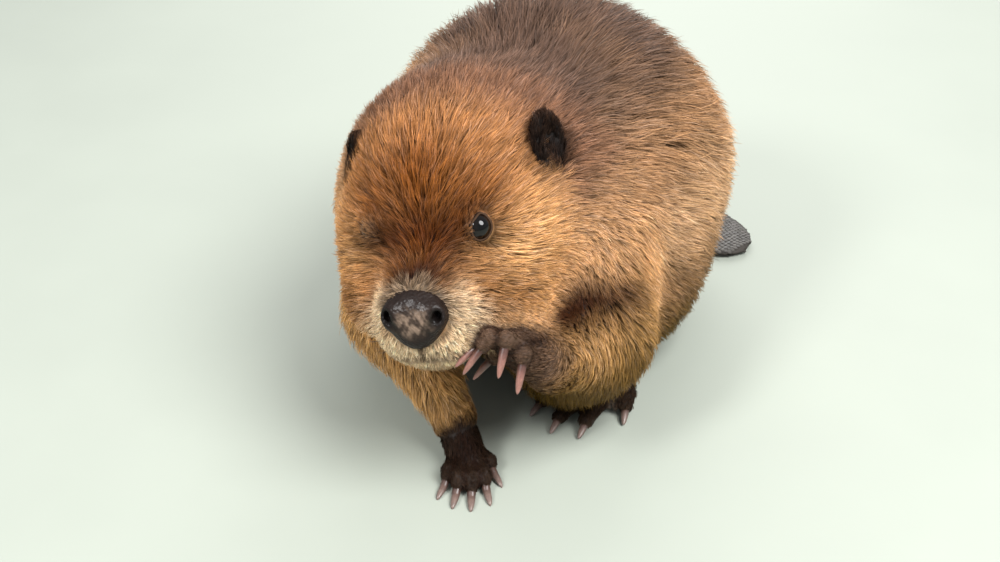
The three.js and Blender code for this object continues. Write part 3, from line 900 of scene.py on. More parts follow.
# Painted shadow: the long hair at the edge of the left cheek shades the upper arm, so a dark band
# is painted along this line.
cheek_shadow_line = blend(1, limb((46, -100, 71), (60, -80, 80), 0, 0),
                    limb((60, -80, 80), (76, -64, 78), 0, 0))
BAND_HALF = 12   # half width of the dark band under the cheek

# %% The whole coat
def markings(points):
    """Colour of the coat over any point of the skin."""
    local = points - BODY
    patchy = wander(points, 60, 1)
    fine = wander(points, 12, 2)
    at = head.into(points) + 2.5 * np.stack([wander(points, 16, seed) for seed in (3, 4, 5)], -1)
    high = local[:, 2] + 9 * patchy
    colour = np.repeat(FUR["flank"][None], len(points), 0)
    colour = towards(colour, "shoulder", ramp(high, 74, 120))
    colour = towards(colour, "back", ramp(high, 120, 150))
    # Darker towards the bottom: painted shade under the body, tinted olive by painted light from
    # the floor.
    colour = towards(colour, "low", ramp(high, 84, 50))
    colour = towards(colour, "shaded_belly", ramp(high, 54, 30))
    front = ramp(local[:, 1], -14, -52)
    colour = towards(colour, "ruff", front * ramp(high, 126, 84) * ramp(high, 36, 62))
    colour = towards(colour, "nape", ramp(local[:, 1], -20, -44) * ramp(high, 118, 136))
    on_head = ramp(head_form(points), 6, 0) * ramp(at[:, 1], 36, 8)
    colour = colour + (mask(at) - colour) * on_head[:, None]
    for which in SIDE:
        arm = ramp(arm_forms[which](points), 5, -2) * ramp(local[:, 2], 96, 72)
        colour = towards(colour, "leg", arm * ramp(at[:, 1], 30, 0) * (1 - on_head))
        # painted shade on the lower fringe of the left forearm
        colour = towards(colour, "shaded_belly", 0.85 * arm * ramp(high, 72, 48) * (which == "left"))
        hand = ramp(forepaw_forms[which](points), 3 + 5 * (1 - on_head), 0.8)
        hand = hand * ramp(past_wrist(which, points), -0.1, 0.35)
        colour = towards(colour, "paw" if which == "left" else "foot", hand)
        # painted shade in the creases between the fingers
        colour = towards(colour, "crease_shade", 0.8 * hand * finger_gaps(which, points))
        foot = ramp(foot_forms[which](points), 4, 0.3)
        toes = np.min([digit_form(digit, TOE)(points) for digit in FEET[which][2]], 0)
        colour = towards(colour, "foot", foot)
        web = foot * ramp(toes, 0.8, 2.5) * ramp(local[:, 1], -28, -40)
        colour = towards(colour, "web", 0.8 * web)
        ear = ramp(ear_forms[which](points), 3.2, 1)
        colour = towards(colour, "ear", ear * ramp(EARS[which].into(points)[:, 2], -15, -9))
    tail = ramp(near_tail(points), 1.5, 0.3)
    colour = towards(colour, "tail", tail * ramp(tail_place(points)[0], 0.03, 0.12))
    # painted shadow of the cheek hair on the upper arm
    cheek_shadow = 1.15 * np.exp(-(cheek_shadow_line(points) / BAND_HALF) ** 2)
    cheek_shadow = cheek_shadow * ramp(head_form(points), 0.5, 5)
    colour = towards(colour, "shade", cheek_shadow * (1 - 0.8 * ramp(local[:, 0], 72, 90)))
    return colour * (1 + 0.15 * fine + 0.08 * patchy)[:, None]

# %% [markdown]
# ## The lie of the coat
# Fur lies away from the nose: back over the brow, down the cheeks, along the back to the
# tail and down every leg to the toes. Each mass of the body has such a direction, and at
# a point the nearer masses count for more, so the flow turns smoothly from one to the
# next, as it does on an animal that was combed by its own tongue and by water.

# %% Ways of the fur over each mass
def steady(x, y, z):
    return lambda points: np.broadcast_to(unit(vec(x, y, z)), points.shape)

def from_nose(points):
    away = unit_rows(head.into(points) - vec(0, -64, 0))
    return (away + vec(0, 0.1, -0.35)) @ head.rotation.T

def down_the_arm(which):
    shoulder, elbow, wrist = (vec(*place) for place in ARM[which][:3])
    fore = unit(0.45 * unit(wrist - elbow) + vec(0.1, 0.15, -0.8))
    upper = unit(unit(elbow - shoulder) + vec(0, 1.1, -0.6))
    def way(points):
        share = ramp((points - BODY - elbow) @ unit(wrist - elbow), -4, 22)[..., None]
        return unit_rows(upper + (fore - upper) * share)
    return way

def over_the_trunk(points):
    x = (points - BODY)[..., 0]
    return unit_rows(np.stack([0.35 * x / 80, 1 + 0 * x, -0.75 + 0 * x], -1))

LIES = [from_nose, steady(0, 1, -0.45), over_the_trunk, steady(0, 0.5, -0.8),
        steady(0.1, 0.7, -0.75), steady(-0.1, 0.7, -0.75),
        down_the_arm("left"), down_the_arm("right"), steady(9, 38, -25)]

# %% Flow
MIXING = 5    # millimetres over which one mass's way gives in to the next
TWIST = 0.22

def lie(points):
    """Which way the fur lies at each point, mixed from the masses close by."""
    gaps = np.stack([form(points) for form, depth in MASSES], -1)
    share = np.exp(-(gaps - gaps.min(-1, keepdims=True)) / MIXING)
    flow = sum(share[..., i, None] * way(points) for i, way in enumerate(LIES))
    for which in SIDE:
        foot = ramp(foot_forms[which](points), 4, 0)[..., None]
        flow = flow * (1 - foot) + foot * vec(0, -1, -0.2)
        wrist, palm, digits = FOREPAWS[which]
        paw = ramp(forepaw_forms[which](points), 4, 0)[..., None]
        flow = flow * (1 - paw) + paw * unit(vec(*digits[2][2]) - vec(*wrist))
        ear = ramp(ear_forms[which](points), 3, 0)[..., None]
        flow = flow * (1 - ear) + ear * EARS[which].rotation[:, 2]
        away = head.into(points) - EYE * vec(SIDE[which], 1, 1)
        far = np.linalg.norm(away, axis=-1, keepdims=True)
        near_eye = OPEN[which] ** 2 * np.exp(-(far / 9) ** 2)
        flow = flow + 0.8 * near_eye * unit_rows(away) @ head.rotation.T
    twist = np.stack([wander(points, 26, seed) for seed in (11, 12, 13)], -1)
    return unit_rows(unit_rows(flow) + TWIST * twist)

# %% [markdown]
# ## How deep the coat is
# At each point of the skin the coat is as deep as the way out to the surface of the
# solids. Hands, ears and toes have only a velvet of a millimetre. Soles, the tail, the
# rims of the lids and the place of the nose pad are bare.

# %% Depth of the coat on the skin
OVERHANG = {"left": 0.0, "right": 1.6}   # hair hangs over the rim of the half closed eye
VELVET, EAR_VELVET = 0.9, 1.6
BARE = -1   # stands for a depth where nothing grows

def eye_gap(points):
    """Distance to the nearer edge of the lids, in millimetres on the skin."""
    gaps = []
    for which in SIDE:
        radius, angle, edge = about_the_eye(which, points)
        gaps.append(np.where(radius < 20, (angle - edge) * radius, 30) + OVERHANG[which])
    return np.minimum(*gaps)

def fur_depth(points, normals):
    """Depth of the coat over the skin, or BARE."""
    depth = -coat_surface(points)
    short = np.full(len(points), VELVET)
    for which in SIDE:
        ear = ramp(ear_forms[which](points), 1.6, 0.4)
        short = np.maximum(short, EAR_VELVET * ear)
        depth = np.where(ear > 0.5, np.minimum(depth, 1.7), depth)
        paw = forepaw_forms[which](points)
        hand = np.interp(past_wrist(which, points), [0.7, 1.2], [1.3, 0.35])
        depth = np.where((paw < 2) & (depth < 3), hand, depth)
        short = np.where(paw < 2, hand, short)
        sole = (foot_forms[which](points) < 2) & (normals[:, 2] < 0)
        depth = np.where(sole & (depth < 3), BARE, depth)
        short = np.where(sole, BARE, short)
    on_tail = (tail_form(points) < 1.5) & (tail_place(points)[0] > 0.05)
    depth = np.where(depth < short, short, depth)
    return np.where(on_tail & (depth < 6), BARE, depth)

skin_depth = fur_depth(skin_points, skin_normals)
under_pad = ellipsoid((0, -58, -12), (12.5, 9, 11), head)(skin_points) < 0
bare = (skin_points[:, 2] < 0.8) | (eye_gap(skin_points) < 0.8) | under_pad
skin_depth[bare] = BARE
print(f"depth of the coat: {skin_depth.max():.1f} mm at most")

# %% [markdown]
# ## How many tufts stand where
# Long fur covers more skin per tuft, so it stands thinner; short fur on the face and the
# feet is fine and close. The number per square millimetre follows from how often the
# strands of a tuft should cover the skin, and the sum from how many triangles the coat
# may have. A painted density map would say the same with less certainty.

# %% Number of tufts
COAT_TRIANGLES = 1_440_000
LONG_HAIR = 9.0    # from this length on a strand has five triangles, below it three
STRANDS = {"long": 5, "short": 7}
TRIANGLES = {"long": 5, "short": 3}

SHORTEST, LONGEST = 2.2, 26
LYING = 1.85       # a hair lies aslant, so it is longer than the coat is deep

def fur_length(depth, points):
    length = np.clip(1.9 + LYING * depth, SHORTEST, LONGEST)
    length = length * (0.5 + 0.5 * ramp(eye_gap(points), 0, 6))
    return length * (0.45 + 0.55 * ramp(mouth_gap(head.into(points)), 0.8, 5))

def strand_width(length):
    return 0.18 + 0.008 * length

skin_length = fur_length(skin_depth, skin_points)
is_long = skin_length >= LONG_HAIR
hairs = np.where(is_long, STRANDS["long"], STRANDS["short"])
cost = hairs * np.where(is_long, TRIANGLES["long"], TRIANGLES["short"])
cover = skin_length * strand_width(skin_length) * 0.5 * hairs   # square millimetres per tuft
crowd = np.interp(skin_length, [3, 6, 12, 24], [0.75, 0.8, 1.0, 1.15])
on_hand = near(forepaw_forms["left"], skin_points, FOREPAWS["left"][1], PAW_REACH) < 2
crowd = np.where(on_hand, crowd * np.interp(skin_depth, [0.35, 1.3], [0.5, 1]), crowd)
wanted = np.where(skin_depth > 0, crowd / cover, 0)
edge_a = skin_points[skin_quads[:, 2]] - skin_points[skin_quads[:, 0]]
edge_b = skin_points[skin_quads[:, 3]] - skin_points[skin_quads[:, 1]]
area = np.linalg.norm(np.cross(edge_a, edge_b), axis=1) / 2
quad_wanted = area * wanted[skin_quads].min(1)
quad_wanted *= COAT_TRIANGLES / (quad_wanted * cost[skin_quads].mean(1)).sum()
TUFTS = int(quad_wanted.sum())
layers = np.median((quad_wanted / area * cover[skin_quads].mean(1))[quad_wanted > 0])
print(f"skin {area.sum() / 100:.0f} cm2, hairs lie {layers:.1f} deep, {TUFTS} tufts")

# %% [markdown]
# Plain chance leaves bare spots. Instead the wanted number is summed along the list of
# faces, and evenly spaced steps of that sum pick the faces, each with a little jitter.

# %% Roots
rng = np.random.default_rng(7)
steps = np.cumsum(quad_wanted)
picks = (np.arange(TUFTS) + rng.uniform(0, 1, TUFTS)) * steps[-1] / TUFTS
root_quad = np.minimum(np.searchsorted(steps, picks), len(skin_quads) - 1)
u, v = rng.uniform(0, 1, (2, TUFTS, 1))

def within(corners):
    """The value at u, v of each chosen quad."""
    a, b, c, d = (corners[:, i] for i in range(4))
    return a * (1 - u) * (1 - v) + b * u * (1 - v) + c * u * v + d * (1 - u) * v

roots = within(skin_points[skin_quads[root_quad]])
root_normals = unit_rows(within(skin_normals[skin_quads[root_quad]]))
root_uv = within(skin_uv[root_quad])
root_depth = within(skin_depth[skin_quads[root_quad]][..., None])[:, 0]
print(f"{len(roots)} roots, {np.median(root_depth):.1f} mm deep at the median")

# %% [markdown]
# ## Growing a tuft
# A groomer in Blender combs hair curves, but curves are lost when a model leaves the
# program. Here each tuft starts as one guide line. It is walked in three steps along the
# lie of the coat, and after every step it is lifted to its share of the coat's depth, so
# that the tips end on the solids' surface and the fur follows every bend of the body.

# %% Guides
def outward(distance, points):
    """Direction out of a form, from four samples round each point."""
    corners = vec([1, 1, 1], [1, -1, -1], [-1, 1, -1], [-1, -1, 1]) * 0.4
    return unit_rows(sum(c * distance(points + c)[..., None] for c in corners))

SHARES = np.array([0, 0.3, 0.65, 1.0])   # of the length, at each station of a guide
ROOTED = 0.4                             # a hair starts this far under the skin

def guides(roots, normals, flow, length, depth, loft):
    """The stations of each guide line, from the root to the tip."""
    furred = -coat_surface(roots) > 0.6
    line = [roots - normals * ROOTED]
    point = roots
    for before, share in zip(SHARES, SHARES[1:]):
        step = length * (share - before)
        out = normals
        if len(line) > 1:
            out = np.where(furred[:, None], outward(coat_surface, point), normals)
        along = unit_rows(flow - out * (flow * out).sum(-1, keepdims=True))
        point = point + along * step[:, None]
        risen = 1 - (1 - share) ** 1.7
        level = np.where(furred, -depth * (1 - risen * loft), depth * risen * loft)
        gap = np.where(furred, coat_surface(point), 0)
        gap[~furred] = skin_distance(point[~furred])
        lift = np.clip(level - gap, -0.7 * step, 0.9 * step)
        point = point + out * lift[:, None]
        line.append(point)
    return np.stack(line, 1)

root_length = fur_length(root_depth, roots) * rng.uniform(0.8, 1.2, TUFTS)
loft = rng.uniform(0.72, 1.06, TUFTS)
flow = unit_rows(lie(roots) + rng.normal(0, 0.17, (TUFTS, 3)))
guide = guides(roots, root_normals, flow, root_length, root_depth, loft)
print(f"{guide.shape[0]} guides of {guide.shape[1]} stations")

# %% [markdown]
# ## Locks
# Neighbouring tufts cling together in locks, with darker gaps between them. Tufts whose
# roots fall in the same small box of space form one lock: their tips are drawn towards
# the lock's middle, and a lock is a shade lighter or darker than the next.

# %% Locks
CLING = np.array([0, 0.25, 0.65, 1])[:, None]   # at each station, from root to tip
LOCK_WIDTHS = [2.4, 4.6], 7.5   # of short fur, of middling fur, and of long fur

def lock_numbers(places, length):
    """A number for each tuft that it shares with its neighbours of like length."""
    box = np.select([length < 7, length < 14], *LOCK_WIDTHS)
    key = np.column_stack([box * 10, np.floor((places + 400) / box[:, None])]).astype(int)
    return np.unique(key, axis=0, return_inverse=True)[1].ravel()

lock = lock_numbers(roots + rng.normal(0, 0.8, (TUFTS, 3)), root_length)
members = np.bincount(lock)
shape = np.stack([[np.bincount(lock, guide[:, k, axis]) / members for axis in range(3)]
                  for k in range(len(SHARES))])
lock_line = shape[:, :, lock].transpose(2, 0, 1)
cling = rng.uniform(0.15, 0.7, TUFTS)[:, None, None] * CLING
guide = guide + (lock_line - guide) * cling
lock_shade = rng.normal(1, 0.13, members.size)[lock]
print(f"{members.size} locks of about {members.mean():.1f} tufts")
print(f"tufts {root_length.min():.1f} to {root_length.max():.1f} mm long")

# %% [markdown]
# ## From guides to strands
# Round each guide stand a few flat strands that taper to a point and draw together at the
# tip, as damp or oily hairs do. A flat strand of five triangles catches light like a lock
# of hair at a twentieth of the cost of a tube. Each gets its own roll, length and bend, and
# now and then one stands out from the rest, which keeps the outline from looking clipped.

# %% Strand shapes
FLOOR_GAP = 0.2   # no hair reaches the floor
STATIONS = {"long": [0, 1, 2, 3], "short": [0, 2, 3]}
TAPER = np.array([0.7, 1.0, 0.75, 0])   # share of the full width at each station

def strand_shapes(guide, length, width, normals, kind, rng):
    """Corner places of all strands of these tufts: left edges, right edges, then tip."""
    picked = STATIONS[kind]
    many = (len(guide), STRANDS[kind], 1)
    guide, share = guide[:, picked], SHARES[picked]
    out = normals[:, None, None]
    across = unit_rows(np.cross(out, unit_rows(np.gradient(guide, axis=1))[:, None]))
    spread = (0.35 + 0.045 * length)[:, None, None]
    side = rng.normal(0, 1, many) * spread
    lift = np.clip(rng.standard_t(2.5, many), -2, 7) * 0.32 * spread   # a few hairs stand out
    reach = rng.uniform(0.7, 1.12, many)
    bend = rng.normal(0, 0.05, many) * length[:, None, None]
    roll = rng.normal(0, 0.6, many)[..., None]
    base = guide[:, None, :1]
    place = base + (guide[:, None] - base) * reach[..., None]
    place = place + across * (side * (1 - 0.55 * share) + bend * share ** 2)[..., None]
    place = place + out * (lift * share)[..., None]
    flat = across * np.cos(roll) + out * np.sin(roll)
    half = width[:, None, None] * rng.uniform(0.35, 0.65, many) * TAPER[picked]
    left, right = place - flat * half[..., None], place + flat * half[..., None]
    corners = np.concatenate([left[:, :, :-1], right[:, :, :-1], place[:, :, -1:]], 2)
    corners[..., 2] = np.maximum(corners[..., 2], FLOOR_GAP)
    return corners

# %% Corners of a strand
def corner_stations(kind):
    """Which station each corner of a strand belongs to."""
    before_tip = list(range(len(STATIONS[kind]) - 1))
    return [*before_tip, *before_tip, len(before_tip)]

# %% [markdown]
# A hair is painted dark at its root, as shade from the wool and the hairs round it, and is
# pale at its tip. One strand in five is a guard hair: stiffer, paler and greyer than the wool
# under it. The tip also takes some of the colour of the place that it reaches, so areas run
# together as they do in fur, without a line.

# %% Strand colours
# painted shade at the root of each strand, paler towards the tip
STATION_TONE = np.array([0.26, 0.6, 1.0, 1.35])
FROM_TIP = np.array([0, 0.2, 0.45, 0.65])   # share of the tip's colour at each station
GUARD_SHARE, GUARD_TONE, GUARD_COLOUR = 0.2, 1.25, 0.8

def strand_colours(root_colour, tip_colour, kind, rng):
    picked, station = STATIONS[kind], corner_stations(kind)
    many = (len(root_colour), STRANDS[kind], 1)
    guard = rng.uniform(0, 1, many) < GUARD_SHARE
    shade = rng.normal(1, 0.22, many).clip(0.5, 1.6) * np.where(guard, GUARD_TONE, 1.0)
    tone = STATION_TONE[picked][station] * shade
    to_tip = FROM_TIP[picked][station][:, None]
    mixed = root_colour[:, None, None] * (1 - to_tip) + tip_colour[:, None, None] * to_tip
    mixed = mixed * tone[..., None]
    grey = mixed.mean(-1, keepdims=True)
    return np.where(guard[..., None], grey + (mixed - grey) * GUARD_COLOUR, mixed)

# %% [markdown]
# Each tuft keeps its colours on the skin's own map, in a small square round its root.
# There every strand has a lane, with its root at the bottom and its tip at the top.
# Hair tools give all hairs one strip of texture, but then no two places could differ.

# %% Strand places on the map
PATCH = 0.003   # side of the square, as a share of the map's

def strand_patches(uv, kind):
    hairs, station = STRANDS[kind], corner_stations(kind)
    last = len(STATIONS[kind]) - 1
    lane = (np.arange(hairs)[None, :, None] + 0.5) / hairs
    edges = np.array([-1] * last + [1] * last + [0]) * 0.5 / hairs
    map_u = uv[:, None, None, 0] + (lane + edges - 0.5) * PATCH
    map_v = uv[:, None, None, 1] + (SHARES[STATIONS[kind]][station] - 0.5) * PATCH + 0 * map_u
    return np.stack([map_u, map_v], -1)

# %% [markdown]
# Blender makes a mesh point by point when it is asked to, which would take minutes here.
# Whole arrays go in at once instead, with the map and the colours beside them.

# %% Arrays to a mesh
def mesh_from(name, points, faces, uv=None, colour=None, smooth=True):
    """A mesh object; faces all have the same number of corners, uv is told by corner."""
    mesh = bpy.data.meshes.new(name)
    sides = faces.shape[1]
    mesh.vertices.add(len(points))
    mesh.vertices.foreach_set("co", (points * MM).astype(np.float32).ravel())
    mesh.loops.add(faces.size)
    mesh.loops.foreach_set("vertex_index", faces.astype(np.int32).ravel())
    mesh.polygons.add(len(faces))
    mesh.polygons.foreach_set("loop_start", np.arange(0, faces.size, sides, dtype=np.int32))
    mesh.polygons.foreach_set("use_smooth", np.full(len(faces), smooth))
    if uv is not None:
        layer = mesh.uv_layers.new(name="OFBake")
        layer.uv.foreach_set("vector", uv.astype(np.float32).ravel())
    if colour is not None:
        layer = mesh.color_attributes.new("marking", "FLOAT_COLOR", "POINT")
        rgba = np.concatenate([np.clip(colour, 0, 1), np.ones((len(colour), 1))], 1)
        layer.data.foreach_set("color", rgba.astype(np.float32).ravel())
    mesh.update(calc_edges=True)
    piece = bpy.data.objects.new(name, mesh)
    bpy.context.scene.collection.objects.link(piece)
    return piece

# %% [markdown]
# ## Materials
# All of the animal's finishes start from the colour that its mesh carries, which is then
# broken by a noise of a real size, because nothing that grew is one even colour. The
# shine is told on the shader itself. A bump follows where the surface has a relief finer
# than the mesh.

# %% Material helpers
def add(tree, kind, settings=None, links=None):
    """A node with its settings and what its sockets are linked to."""
    node = tree.nodes.new(kind)
    for name, value in (settings or {}).items():
        if name in node.inputs:
            node.inputs[name].default_value = value
        else:
            setattr(node, name, value)
    for name, source in (links or {}).items():
        tree.links.new(source, node.inputs[name])
    return node

def per_metre(size):
    """Noise scale for patches of that many millimetres."""
    return 1 / (size * MM)

# %% Grown finishes
NOISE_LOW, NOISE_HIGH = 0.3, 0.7   # nearly all of a noise lies between these
WEAR = 0.15                        # share by which the roughness wanders

def grown(name, grain, contrast, bump=None, bump_kind="ShaderNodeTexNoise", **values):
    """A material with the mesh's colour, mottled at a grain, and a bump of (size, height)."""
    made = bpy.data.materials.new(name)
    made.use_nodes = True
    tree = made.node_tree
    shader = tree.nodes["Principled BSDF"]
    for key, value in values.items():
        shader.inputs[key.replace("_", " ")].default_value = value
    place = add(tree, "ShaderNodeTexCoord").outputs["Object"]
    marking = add(tree, "ShaderNodeVertexColor", {"layer_name": "marking"})
    noise = add(tree, "ShaderNodeTexNoise", {"Scale": per_metre(grain), "Detail": 3},
                {"Vector": place})
    light = add(tree, "ShaderNodeMapRange",
                {"From Min": NOISE_LOW, "From Max": NOISE_HIGH,
                 "To Min": 1 - contrast, "To Max": 1 + contrast},
                {"Value": noise.outputs["Fac"]})
    mottled = add(tree, "ShaderNodeVectorMath", {"operation": "SCALE"},
                  {"Vector": marking.outputs["Color"], "Scale": light.outputs["Result"]})
    tree.links.new(mottled.outputs["Vector"], shader.inputs["Base Color"])
    rough = values.get("Roughness", 0.5)
    wear = add(tree, "ShaderNodeMapRange",
               {"To Min": rough * (1 - WEAR), "To Max": rough * (1 + WEAR)},
               {"Value": noise.outputs["Fac"]})
    tree.links.new(wear.outputs["Result"], shader.inputs["Roughness"])
    if bump:
        relief = add(tree, bump_kind, {"Scale": per_metre(bump[0])}, {"Vector": place})
        height = relief.outputs.get("Fac") or relief.outputs["Distance"]
        lumps = add(tree, "ShaderNodeBump", {"Strength": 0.7, "Distance": bump[1] * MM},
                    {"Height": height})
        tree.links.new(lumps.outputs["Normal"], shader.inputs["Normal"])
    return made

# %% Finished pieces
def finish_piece(piece, finish, slot, *nodes):
    """Give a piece its material and its body, and hide the solids that it stands for."""
    piece.data.materials.append(finish)
    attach(piece, "root")
    if nodes:
        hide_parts(*nodes)
    return piece

# %% [markdown]
# ## The coat
# Hair is keratin with a thin film of oil, so it is neither dull nor glassy: roughness a
# little over one half, and little specular, because each scale of a hair throws the light
# another way. The mottle is 4 mm, the width of a lock. Real hair is 0.03 to 0.1 mm thick,
# too fine to show, so a strand here stands for several and is 0.2 to 0.4 mm wide.

# %% Hair
hair = grown("Guard hair and wool", 4, 0.10, Roughness=0.55, IOR=1.5, Specular_IOR_Level=0.1)
STRAND_FACES = {"long": np.array([[0, 3, 4], [0, 4, 1], [1, 4, 5], [1, 5, 2], [2, 5, 6]]),
                "short": np.array([[0, 2, 3], [0, 3, 1], [1, 3, 4]])}
PIECE_TRIANGLES = 197_000

# %% Coat pieces
root_colour = markings(roots) * lock_shade[:, None]
tip_colour = markings(guide[:, 3]) * lock_shade[:, None]

def coat_piece(kind, number, chosen):
    rng = np.random.default_rng(100 + number)
    hairs, tris = STRANDS[kind], STRAND_FACES[kind]
    length = root_length[chosen]
    corners = strand_shapes(guide[chosen], length, strand_width(length),
                            root_normals[chosen], kind, rng)
    colours = strand_colours(root_colour[chosen], tip_colour[chosen], kind, rng)
    places = strand_patches(root_uv[chosen], kind)
    first = corners.shape[2] * np.arange(len(chosen) * hairs)[:, None, None]
    faces = (tris[None] + first).reshape(-1, 3)
    piece = mesh_from(f"coat_{kind}_{number}", corners.reshape(-1, 3), faces,
                      places.reshape(-1, 2)[faces.ravel()], colours.reshape(-1, 3))
    print(f"{piece.name}: {len(faces)} triangles")
    return finish_piece(piece, hair, "coat")

for kind, is_kind in (("long", root_length >= LONG_HAIR), ("short", root_length < LONG_HAIR)):
    tufts = np.flatnonzero(is_kind)
    tufts = tufts[np.argsort(roots[tufts, 1], kind="stable")]
    per_piece = PIECE_TRIANGLES // (STRANDS[kind] * TRIANGLES[kind])
    for first in range(0, len(tufts), per_piece):
        coat_piece(kind, first // per_piece + 1, tufts[first:first + per_piece])

# %% [markdown]
# ## Skin and underwool
# Between the tufts the eye sees the soft wool that stands close on the skin. Little light
# gets down there, so the skin is painted darker the deeper the coat over it: painted shade.
# On the palms, the soles and the fingertips it is bare leathery skin, with creases about 1.5
# mm apart.

# %% Skin
wool_shade = np.interp(skin_depth, [-1, 0.4, 2.5], [0.85, 0.7, 0.3])[:, None]
bare_skin = grown("Skin and underwool", 2.5, 0.15, bump=(1.5, 0.35),
                  Roughness=0.6, IOR=1.42, Specular_IOR_Level=0.3)
skin = mesh_from("skin", skin_points, skin_quads, skin_uv.reshape(-1, 2),
                 markings(skin_points) * wool_shade)
own_pieces = ("claw", "eye", "nose")
flesh_nodes = [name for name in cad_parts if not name.startswith(own_pieces)]
finish_piece(skin, bare_skin, "coat", *flesh_nodes)
print("one skin for", len(flesh_nodes), "nodes")

# %% [markdown]
# ## Eyes
# A museum eye is blown glass, painted on the back. Here it is one polished ball with a
# swell for the cornea: black pupil, dark brown iris and a dark edge, told by the angle
# from the gaze. The iris fibres are about half a millimetre apart. Glass has an IOR of
# 1.5, but a wet eye 1.38, so the reflection is set between them.

# %% Grids and rings
def grid_faces(rows, columns):
    """Quads of a grid of points whose last column joins the first."""
    r, c = np.meshgrid(np.arange(rows - 1), np.arange(columns), indexing="ij")
    r, c = r.ravel(), c.ravel()
    after = (c + 1) % columns
    return np.stack([r * columns + c, r * columns + after,
                     (r + 1) * columns + after, (r + 1) * columns + c], 1)

def around(count):
    return np.arange(count) / count * 2 * np.pi

def from_gaze(angle, turn):
    """Direction at that angle from the gaze and that turn round it."""
    return np.stack([np.sin(angle) * np.cos(turn), np.sin(angle) * np.sin(turn),
                     np.cos(angle) + 0 * turn], -1)

# %% Eyeballs
PUPIL, IRIS = 24, 50   # half angles of their edges in degrees
EYE_TINTS = ("030303", "0d0806", "050404")   # pupil, iris, dark edge
CORNEA_RISE, CORNEA_ANGLE = 0.05, 0.55       # share of the radius, radians
EYE_ROWS, EYE_COLUMNS = 33, 40

def eyeball(which):
    angle = np.linspace(0.001, math.pi - 0.001, EYE_ROWS)[:, None]
    cornea = 1 + CORNEA_RISE * np.exp(-(angle / CORNEA_ANGLE) ** 2)
    local = from_gaze(angle, around(EYE_COLUMNS)[None]) * (EYE_RADIUS * cornea)[..., None]
    ring = np.digitize(np.degrees(angle), [PUPIL, IRIS]) + np.zeros((1, EYE_COLUMNS), int)
    colour = np.array([linear(code) for code in EYE_TINTS])[ring]
    return mesh_from(f"eyeball_{which}", ORBITS[which].out(local.reshape(-1, 3)),
                     grid_faces(EYE_ROWS, EYE_COLUMNS), colour=colour.reshape(-1, 3))

glass = grown("Polished eye glass", 0.5, 0.25, Roughness=0.05, IOR=1.42)
for which in SIDE:
    finish_piece(eyeball(which), glass, "eyeball", f"eye_{which}")
print(f"eyes of {2 * EYE_RADIUS} mm")

# %% [markdown]
# ## Lids
# The rim of a lid is a smooth bare bead under a millimetre thick, near black and a little
# moist. It is built as rings round the ball: tucked in against it, over the bead, and
# back down under the skin, with fine creases across it.

# %% Lids
LID_RINGS = [   # distance from the middle of the eye, angle behind the edge, share of pale
    (EYE_RADIUS - 0.1, -0.02, 0.1),
    (EYE_RADIUS + 0.15, 0.0, 0.5),
    (6.55, 0.02, 1),
    (6.8, 0.06, 0.7),
    (6.85, 0.12, 0.2),
    (6.8, 0.22, 0),
    (6.5, 0.40, 0),
]
LID_COLUMNS, CREASES = 56, 9

def lid(which):
    turn = around(LID_COLUMNS)
    rim, dark = vec(*linear("4a3628")), vec(*linear("1a110c"))
    local, colour = [], []
    for radius, behind, pale in LID_RINGS:
        crease = 1 + 0.012 * np.sin(turn * CREASES + behind * 30) * (behind > 0.05)
        ring = from_gaze(lid_angle(which, turn) + behind, turn)
        local.append(ring * (radius * crease)[:, None])
        colour.append(np.repeat([dark + (rim - dark) * pale], LID_COLUMNS, 0))
    return mesh_from(f"lids_{which}", ORBITS[which].out(np.concatenate(local)),
                     grid_faces(len(LID_RINGS), LID_COLUMNS), colour=np.concatenate(colour))

moist_lid = grown("Bare lid skin", 0.8, 0.2, bump=(0.8, 0.1),
                  Roughness=0.7, IOR=1.4, Specular_IOR_Level=0.12)
for which in SIDE:
    finish_piece(lid(which), moist_lid, "paw_skin")
print(len(LID_RINGS), "rings to a lid")

# %% [markdown]
# ## Nose pad
# The nose is a leathery cushion with two comma-shaped nostrils that open to the sides, and
# a groove below. It is modelled as soft forms again, on a finer net than the skin.

# %% Nose pad shape
pad = Frame(vec(0, -57.6, -12), turning(0, -29, 0), head)
own = Frame(vec(0, 0, 0), np.eye(3))
PAD_CELL, PAD_REACH = 0.55, 17
PEBBLE = 0.12   # height of the grain of the leather

def nostril_form(local):
    """A round hole that runs out into a slit, down and towards the middle."""
    return meld(1.8, ellipsoid((10.8, -6.0, 1.4), (1.5, 3.8, 2.1), own)(local),
                limb((10.6, -7.2, 0), (6.8, -8.8, -3.8), 1.3, 0.5, own)(local))

def pad_form(points):
    x, y, z = pad.into(points).T
    local = np.stack([np.abs(x), y, z], -1)
    narrow = 1 - 0.020 * np.clip(-z, 0, 14)
    body = ellipsoid((0, 0, 0), (14.0, 8.2, 13.4), own)(np.stack([x / narrow, y, z], -1)) * 0.8
    body = meld(4, body, ellipsoid((8.8, -4.2, 1.0), (4.4, 3.0, 5.0), own)(local))
    body = -meld(2.2, -body, nostril_form(local))
    groove = limb((0, -9.6, -3), (0, -7.2, -14), 1.0, 1.3, own)(local)
    body = -meld(1.8, -body, groove)
    across, upright = np.sin(x * 2.9 + np.sin(z * 1.9)), np.sin(z * 3.3 + np.sin(x * 2.1 + y))
    return body - PEBBLE * (across * upright * np.sin(y * 2.2))

nose_points, nose_quads = surface_net(pad_form, pad.place - PAD_REACH, pad.place + PAD_REACH,
                                      PAD_CELL)
print(f"nose pad: {len(nose_quads)} quads")

